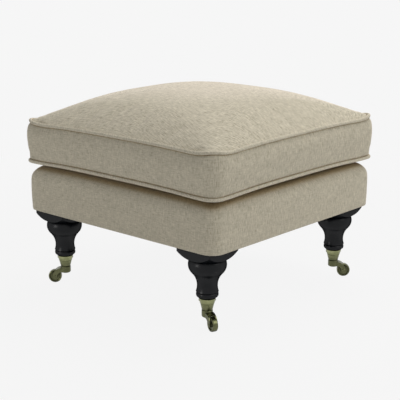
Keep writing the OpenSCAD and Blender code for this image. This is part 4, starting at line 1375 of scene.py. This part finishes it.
    def build_piping(self, name: str, seam: float, plan: RoundedSquare, down: float) -> bpy.types.Object:
        """Bends a ring of covered cord round one seam.

        Args:
            name: Name of the piece.
            seam: Height of the seam near the corners.
            plan: Outline of the seam.
            down: 0 for the upper seam and 1 for the lower one.

        Returns:
            The piping.
        """
        deselect_all()
        runs, sides = 4 * self.cells, 12
        bpy.ops.mesh.primitive_torus_add(major_segments=runs, minor_segments=sides, generate_uvs=False,
                                         major_radius=self.half, minor_radius=self.piping_r)
        obj = new_piece(name)
        spots = []
        for vertex in obj.data.vertices:
            place = vertex.co
            run = math.atan2(place.y, place.x) / (2 * math.pi) % 1.0 * runs
            side = math.atan2(place.z, math.hypot(place.x, place.y) - self.half)
            spots.append((round(run) % runs, side % (2 * math.pi)))
        per_side = runs // 4
        for vertex, (run, side) in zip(obj.data.vertices, spots):
            quarter_turn, step = divmod(run, per_side)
            f = 2 * step / per_side - 1
            a, b = ((1, f), (-f, 1), (-1, -f), (f, -1))[quarter_turn]
            point = plan.rim(a, b * (1 - 1e-9) if abs(a) == 1 else b)
            uneven = self.piping_unevenness * noise.noise(Vector((point.x, point.y, seam)) * 30.0)
            thick = self.piping_r * (1 + uneven)
            x, y = point.moved(-self.piping_r + thick * math.cos(side))
            vertex.co = Vector((x, y, seam + self.wave(point, down) + thick * math.sin(side)))
        draw_slub_turn(obj, [0.0] * len(spots))
        round_length, belt = plan.quarter * 4 / runs, 2 * math.pi * self.piping_r

        def flat(polygon: bpy.types.MeshPolygon, index: int) -> tuple[float, float]:
            """Place on the flat strip that the cord is covered with."""
            first = spots[polygon.vertices[0]]
            run, side = (value - whole * round((value - start) / whole)
                         for value, start, whole in zip(spots[index], first, (runs, 2 * math.pi)))
            return run * round_length, side / (2 * math.pi) * belt

        draw_cloth_map(obj, flat)
        smooth(obj, 180.0)
        return obj

    def build(self) -> bpy.types.Object:
        """Returns:
            The cover, which the zip is sewn into.
        """
        cover = self.build_cover()
        self.wardrobe.cover.dress(cover)
        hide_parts("cushion_top_panel", "cushion_boxing", "cushion_bottom_panel", "cushion_pad")
        pieces = [cover]
        for name, node, seam, plan, down in (
                ("cushion_welt_upper", "cushion_piping_top", self.seam_high, self.plans[0], 0.0),
                ("cushion_welt_lower", "cushion_piping_bottom", self.seam_low, self.plans[-1], 1.0)):
            welt = self.build_piping(name, seam, plan, down)
            self.wardrobe.welt.dress(welt)
            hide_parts(node)
            pieces.append(welt)
        for piece in pieces:
            declare(piece, "oatmeal_cloth", self.body)
        return cover


@dataclass(frozen=True)
class StitchRow:
    """Short lengths of sewing thread that follow a line."""

    length: float = 0.0026
    gap: float = 0.0012
    thread: float = 0.0006

    def pattern(self) -> bpy.types.Object:
        """Models one stitch along X: a short thread that dips into the cloth at both ends."""
        deselect_all()
        bpy.ops.mesh.primitive_cylinder_add(vertices=6, radius=self.thread / 2, depth=self.length,
                                            rotation=(0, math.pi / 2, 0))
        one = new_piece("stitch")
        apply_place(one)
        for vertex in one.data.vertices:
            if abs(vertex.co.x) > 0.45 * self.length:
                vertex.co.y *= 0.5
                vertex.co.z = 0.5 * vertex.co.z - 0.4 * self.thread
        round_edges(one, self.thread * 0.2, 1, math.degrees(1.0))
        return one

    def places(self, start: Vector, end: Vector, out: Vector) -> list[Matrix]:
        """Places of the stitches on a straight line.

        Args:
            start: Start of the line.
            end: End of the line.
            out: Direction away from the cloth.

        Returns:
            One matrix for each stitch.
        """
        along = (end - start).normalized()
        side = out.cross(along)
        turn = Matrix((along, side, out)).transposed().to_4x4()
        count = int((end - start).length / (self.length + self.gap))
        step = (end - start) / count
        return [Matrix.Translation(start + step * (k + 0.5)) @ turn for k in range(count)]


@dataclass
class CushionZip:
    """The zip in the back of the boxing: tape, teeth, the slider's pull and the slot's stitching."""

    wardrobe: Wardrobe
    cover: bpy.types.Object
    tooth_pitch: float = 0.0020
    chain_margin: float = 0.003
    slot_clearance: float = 0.002
    tooth: tuple[float, float, float] = (0.0011, 0.0016, 0.0022)
    tape_thickness: float = 0.0008
    seam_from_slot: float = 0.0045
    pull: tuple[float, float, float] = (0.0052, 0.0012, 0.0200)

    def __post_init__(self) -> None:
        """Takes the places of the zip and its slider from the frame."""
        self.low, self.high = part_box("cushion_zip")
        self.slider_low, self.slider_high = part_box("zip_slider")
        self.middle_z = (self.low.z + self.high.z) / 2
        self.tape_front = self.low.y + self.tape_thickness
        self.skin = BVHTree.FromPolygons([v.co.copy() for v in self.cover.data.vertices],
                                         [tuple(p.vertices) for p in self.cover.data.polygons])

    def on_cloth(self, x: float, z: float) -> Vector:
        """The place on the back of the boxing at a given X and Z."""
        hit = self.skin.ray_cast(Vector((x, 0.4, z)), Vector((0, -1, 0)))[0]
        return hit if hit else Vector((x, self.high.y, z))

    def build_tape(self) -> bpy.types.Object:
        """Models the woven tape with the cord along each edge that the teeth are fixed to."""
        size = (self.high.x - self.low.x, self.tape_thickness, self.high.z - self.low.z)
        obj = add_cube("zip_tape", size, (0, (self.low.y + self.tape_front) / 2, self.middle_z))
        bpy.ops.object.mode_set(mode="EDIT")
        for z in (-0.0016, -0.0006, 0.0006, 0.0016):
            bpy.ops.mesh.select_all(action="SELECT")
            bpy.ops.mesh.bisect(plane_co=(0, 0, self.middle_z + z), plane_no=(0, 0, 1))
        bpy.ops.mesh.select_all(action="DESELECT")
        bpy.ops.object.mode_set(mode="OBJECT")
        for vertex in obj.data.vertices:
            from_middle = abs(vertex.co.z - self.middle_z)
            if vertex.co.y > self.low.y + 0.5 * self.tape_thickness and 0.0004 < from_middle < 0.002:
                vertex.co.y += 0.0004 if from_middle > 0.001 else -0.0003
        round_edges(obj, 0.0001, 1)
        smooth(obj)
        return obj

    def build_teeth(self) -> bpy.types.Object:
        """Models one tooth and copies it along both edges of the tape, in turn above and below."""
        tooth = add_cube("tooth", self.tooth)
        for vertex in tooth.data.vertices:
            if vertex.co.z > 0:
                vertex.co.x *= 0.72
        round_edges(tooth, 0.0002, 1)
        y = self.tape_front + self.tooth[1] / 2
        count = int((self.high.x - self.low.x - 2 * self.chain_margin) / self.tooth_pitch)
        places = []
        for k in range(count):
            x = self.low.x + self.chain_margin + (k + 0.5) * self.tooth_pitch
            places.append(Matrix.Translation((x, y, self.middle_z - 0.0007)))
            places.append(Matrix.Translation((x + self.tooth_pitch / 2, y, self.middle_z + 0.0007))
                          @ Matrix.Rotation(math.pi, 4, "Y"))
        obj = copies("zip_teeth", tooth, places)
        smooth(obj)
        return obj

    def build_pull(self) -> bpy.types.Object:
        """Models the slider's bridge and its pull, a plate with a round end and a slot."""
        deselect_all()
        middle = (self.slider_low + self.slider_high) / 2
        width, thick, length = self.pull
        front = self.slider_high.y
        bpy.ops.mesh.primitive_torus_add(
            major_segments=20, minor_segments=8, major_radius=0.0021, minor_radius=0.0005,
            location=(middle.x, front + 0.0006, middle.z), rotation=(0, math.pi / 2, 0))
        bridge = new_piece("bridge")
        apply_place(bridge)
        deselect_all()
        bpy.ops.mesh.primitive_cylinder_add(vertices=24, radius=width / 2, depth=thick,
                                            rotation=(math.pi / 2, 0, 0))
        plate = new_piece("plate")
        apply_place(plate)
        for vertex in plate.data.vertices:
            vertex.co.z += -length + width / 2 if vertex.co.z < -1e-6 else -width / 2
        select_faces(plate, lambda face: abs(face.normal.y) > 0.9)
        bpy.ops.mesh.inset(thickness=0.0009, depth=-0.0002, use_individual=True)
        stop_editing()
        round_edges(plate, 0.00015, 2)
        plate.location = (middle.x, front + 0.0022, middle.z - 0.0004)
        plate.rotation_euler = (math.radians(7.0), 0, 0)
        apply_place(plate)
        obj = joined("zip_pull", [bridge, plate])
        smooth(obj)
        return obj

    def build_stitching(self) -> bpy.types.Object:
        """Sews a row of stitches round the slot, on the boxing."""
        row = StitchRow()
        end = self.high.x + self.slot_clearance + self.seam_from_slot
        low, high = self.low.z - self.seam_from_slot, self.high.z + self.seam_from_slot
        places = []
        knots = [-end + 2 * end * k / 44 for k in range(45)]
        for z in (low, high):
            for a, b in zip(knots, knots[1:]):
                places += row.places(self.on_cloth(a, z), self.on_cloth(b, z), Vector((0, 1, 0)))
        for x in (-end, end):
            places += row.places(self.on_cloth(x, low), self.on_cloth(x, high), Vector((0, 1, 0)))
        obj = copies("zip_stitching", row.pattern(), places)
        smooth(obj)
        return obj

    def build(self) -> None:
        tape, teeth, pull, stitching = (self.build_tape(), self.build_teeth(), self.build_pull(),
                                        self.build_stitching())
        self.wardrobe.tape.dress(tape)
        self.wardrobe.nickel.dress(teeth, pull)
        self.wardrobe.thread.dress(stitching)
        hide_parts("cushion_zip")
        for piece, slot, body in ((tape, "zip_tape", "cushion"), (teeth, "zip_metal", "cushion"),
                                  (pull, "zip_metal", "zip_slider"),
                                  (stitching, "oatmeal_cloth", "cushion")):
            declare(piece, slot, body)


# Base


@dataclass
class UpholsteredBase:
    """The base's cover, the platform cloth on its deck and the dust cover under it."""

    wardrobe: Wardrobe
    top_corner_r: float = 0.034
    side_corner_r: float = 0.028
    foot_corner_r: float = 0.030
    roll_r: float = 0.033
    deck_border: float = 0.080
    cells: int = 64
    side_bulge: float = 0.0004
    fold: float = 0.0014
    pull_layers: NoiseLayers = ((11.0, 0.0007, (0, 0, 0)), (34.0, 0.0003, (5, 2, 9)))
    pleat_depth: float = 0.0004
    pleats_per_radian: float = 11.0
    flat_foot: float = 0.004
    return_width: float = 0.034
    cover_t: float = 0.0016
    seam_in: float = 0.003
    staple_in: float = 0.007
    staple_pitch: float = 0.036
    staple_size: tuple[float, float, float] = (0.0100, 0.0011, 0.0005)
    leg_clearance: float = 0.008
    body: str = "base"

    def __post_init__(self) -> None:
        """Takes the base's outline from the frame."""
        low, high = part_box("base_cover")
        self.half = high.x
        self.low_z, self.deck_z = low.z - 0.3 * MM, high.z

    def section(self) -> list[tuple[float, float]]:
        """The cover's section from the deck's border to the fold underneath.

        Returns:
            Pairs of how far in from the side a point lies, and its height.
        """
        spring = self.deck_z - self.roll_r
        flat = self.deck_border - self.roll_r
        border = [(self.deck_border - flat * k / 5, self.deck_z) for k in range(5)]
        roll = [(self.roll_r - self.roll_r * math.sin(math.radians(t)),
                 spring + self.roll_r * math.cos(math.radians(t))) for t in range(0, 91, 10)]
        rows, fold = 8, self.fold
        side = [(-self.side_bulge * math.sin(math.pi * (k / rows) ** 0.8),
                 spring + (self.low_z + fold - spring) * k / rows) for k in range(1, rows + 1)]
        turn = [(0.3 * fold, self.low_z + 0.3 * fold), (fold, self.low_z)]
        back = [(fold + (self.return_width - fold) * k / 3, self.low_z) for k in range(1, 4)]
        return border + roll + side + turn + back

    def build_cover(self) -> bpy.types.Object:
        """Builds the fitted cover with its rolled edge.

        Returns:
            The cover.
        """
        section = self.section()
        obj = lay_out_box("base_cover_cloth", self.cells, len(section) - 1, closed=False)
        select_faces(obj, lambda face: face.center.z > -1e-4)
        bpy.ops.mesh.delete(type="FACE")
        stop_editing()
        spots = [(v.co.x, v.co.y, round(-v.co.z)) for v in obj.data.vertices]
        run = [0.0]
        for (inset, z), (inset_next, z_next) in zip(section, section[1:]):
            run.append(run[-1] + math.hypot(inset_next - inset, z_next - z))
        turns = []
        for vertex, (a, b, level) in zip(obj.data.vertices, spots):
            inset, z = section[level]
            spring = self.deck_z - self.roll_r
            down = blend_between(0.0, 1.0, (spring - z) / (spring - self.low_z))
            over = min(1.0, max(0.0, inset / self.roll_r)) if z > spring else 0.0
            radius = (self.side_corner_r + (self.foot_corner_r - self.side_corner_r) * down
                      + (self.top_corner_r - self.side_corner_r) * over)
            point = RoundedSquare(self.half - inset, radius).rim(a, b)
            vertex.co = Vector((point.x, point.y, z))
            turns.append(slub_share(point))
        draw_slub_turn(obj, turns)
        plan = RoundedSquare(self.half, self.side_corner_r)

        def flat(polygon: bpy.types.MeshPolygon, index: int) -> tuple[float, float]:
            """Place on the flat cloth, by the run round the base and down its section."""
            return plan.rim(*off_corner(spots, polygon, index)).along + 9.0, -run[spots[index][2]]

        draw_cloth_map(obj, flat)
        finish_with(obj, "SUBSURF", levels=1, render_levels=1)
        self.crease(obj)
        finish_with(obj, "SOLIDIFY", thickness=self.cover_t, offset=-1.0, use_even_offset=True)
        smooth(obj, 60.0)
        return obj

    def crease(self, obj: bpy.types.Object) -> None:
        """Adds soft pulls in the cloth and small pleats where the roll turns the corner."""
        spring = self.deck_z - self.roll_r
        middle = self.half - self.side_corner_r

        def soft(place: Vector) -> float:
            """How far the cloth stands out, with pleats only over the corners."""
            if place.z < self.low_z + self.flat_foot:
                return 0.0
            pull = layered_noise(place, self.pull_layers)
            over_x, over_y = abs(place.x) - middle, abs(place.y) - middle
            if over_x > 0 and over_y > 0 and place.z > spring:
                height = (place.z - spring) / self.roll_r
                pleats = math.sin(math.atan2(over_y, over_x) * self.pleats_per_radian)
                pull += self.pleat_depth * pleats * math.sin(math.pi * height) ** 1.2
            return pull

        push_out(obj, soft)

    def lay_cloth(self, name: str, plan: RoundedSquare, top: float, thickness: float, sag: float,
                  cells: int) -> bpy.types.Object:
        """Lays a sheet of cloth with round corners over the base.

        Args:
            name: Name of the piece.
            plan: Outline of the sheet.
            top: Height of its upper face at the edge.
            thickness: Its thickness.
            sag: How far its middle hangs down.
            cells: Number of cells along each side.

        Returns:
            The sheet.
        """
        obj = add_square_grid(name, cells)
        for vertex in obj.data.vertices:
            a, b, _ = vertex.co
            rim = max(abs(a), abs(b))
            if rim < 1e-6:
                vertex.co = Vector((0, 0, top - sag))
                continue
            point = plan.rim(a / rim, b / rim)
            x, y = point.x * rim, point.y * rim
            ripple = 0.0003 * noise.noise(Vector((x, y, top)) * 16.0) * min(1.0, 6 * (1 - rim))
            vertex.co = Vector((x, y, top - sag * (1 - rim ** 4) + ripple))
        finish_with(obj, "SOLIDIFY", thickness=thickness, offset=-1.0)
        smooth(obj)
        return obj

    def build_deck(self) -> bpy.types.Object:
        """Lays the platform cloth in the opening of the deck."""
        low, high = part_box("deck_cloth")
        plan = RoundedSquare(high.x + 0.2 * MM, self.top_corner_r)
        return self.lay_cloth("deck_platform_cloth", plan, high.z, 1.0 * MM, 0.3 * MM, 48)

    def build_dust_cover(self) -> bpy.types.Object:
        """Stretches the black dust cloth over the underside."""
        low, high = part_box("dust_cover")
        plan = RoundedSquare(high.x, 0.006)
        return self.lay_cloth("dust_cloth", plan, high.z, 0.5 * MM, 0.0, 48)

    def build_staples(self) -> bpy.types.Object:
        """Drives a row of wire staples along each side of the dust cloth, between the legs."""
        staple = add_cube("staple", self.staple_size)
        select_faces(staple, lambda face: abs(face.normal.x) > 0.9)
        bpy.ops.mesh.extrude_faces_move(TRANSFORM_OT_shrink_fatten={"value": 0.0})
        stop_editing()
        for vertex in staple.data.vertices:
            if vertex.select:
                vertex.co.x += math.copysign(0.0004, vertex.co.x)
                vertex.co.z += 0.0004
        round_edges(staple, 0.00012, 1)
        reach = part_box("dust_cover")[1].x - self.staple_in
        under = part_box("dust_cover")[0].z - 0.00015
        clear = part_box("leg_front_right")[0].x - self.leg_clearance
        count = int(2 * clear / self.staple_pitch)
        places = []
        for turn in range(4):
            for k in range(count + 1):
                x = -clear + 2 * clear * k / count
                tilt = 0.12 * noise.noise(Vector((x * 31.0, turn * 3.7, 1.0)))
                side = Matrix.Rotation(turn * math.pi / 2, 4, "Z")
                places.append(side @ Matrix.Translation((x, reach, under)) @ Matrix.Rotation(tilt, 4, "Z"))
        obj = copies("dust_cloth_staples", staple, places)
        smooth(obj)
        return obj

    def build_deck_seam(self) -> bpy.types.Object:
        """Sews the border of the deck to the platform cloth with a row of stitches."""
        row = StitchRow(0.0034, 0.0014, 0.0007)
        half = self.half - self.deck_border + self.seam_in
        straight = half - self.top_corner_r
        lift = Vector((0, 0, 1))
        corners, places = [], []
        for turn in range(4):
            spin = Matrix.Rotation(turn * math.pi / 2, 4, "Z")
            for k in range(9):
                angle = math.pi / 2 * k / 8
                corners.append(spin @ Vector((straight + self.top_corner_r * math.cos(angle),
                                              straight + self.top_corner_r * math.sin(angle),
                                              self.deck_z + 0.0002)))
        for a, b in zip(corners, corners[1:] + corners[:1]):
            if (b - a).length > row.length + row.gap:
                places += row.places(a, b, lift)
        obj = copies("deck_seam_stitching", row.pattern(), places)
        smooth(obj)
        return obj

    def build(self) -> None:
        cover, deck, dust = self.build_cover(), self.build_deck(), self.build_dust_cover()
        staples, seam = self.build_staples(), self.build_deck_seam()
        self.wardrobe.cover.dress(cover)
        self.wardrobe.platform.dress(deck)
        self.wardrobe.dust.dress(dust)
        self.wardrobe.zinc.dress(staples)
        self.wardrobe.thread.dress(seam)
        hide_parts("base_cover", "side_wadding", "edge_roll")
        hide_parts("deck_cloth")
        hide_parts("dust_cover")
        for piece, slot in ((cover, "oatmeal_cloth"), (deck, "platform_cloth"), (dust, "dust_cloth"),
                            (staples, "zinc_steel"), (seam, "oatmeal_cloth")):
            declare(piece, slot, self.body)


# Castors, legs and inner pieces


@dataclass(frozen=True)
class CarriedPieces:
    """The CAD nodes that keep their own shape and only need their finish."""

    wardrobe: Wardrobe

    def dress(self) -> None:
        """Gives every node the finish of its slot."""
        finishes = self.wardrobe.by_slot()
        slots = {part["node"]: part["material_slot"] for part in frame["record"]["subparts"]}
        for name, obj in sorted(frame["nodes"].items()):
            finishes[slots[name]].dress(obj)
        LOG.info("dressed %d carried pieces", len(slots))


def main() -> None:
    """Builds the footstool and the studio round it."""
    logging.basicConfig(level=logging.INFO, format="%(name)s: %(message)s")
    bpy.context.scene.view_settings.view_transform = "Standard"
    studio = Studio()
    studio.set_camera()
    studio.lay_floor()
    studio.light()
    wardrobe = Wardrobe()
    CarriedPieces(wardrobe).dress()
    CushionZip(wardrobe, BoxCushion(wardrobe).build()).build()
    UpholsteredBase(wardrobe).build()
    deselect_all()


if __name__ == "__main__":
    main()
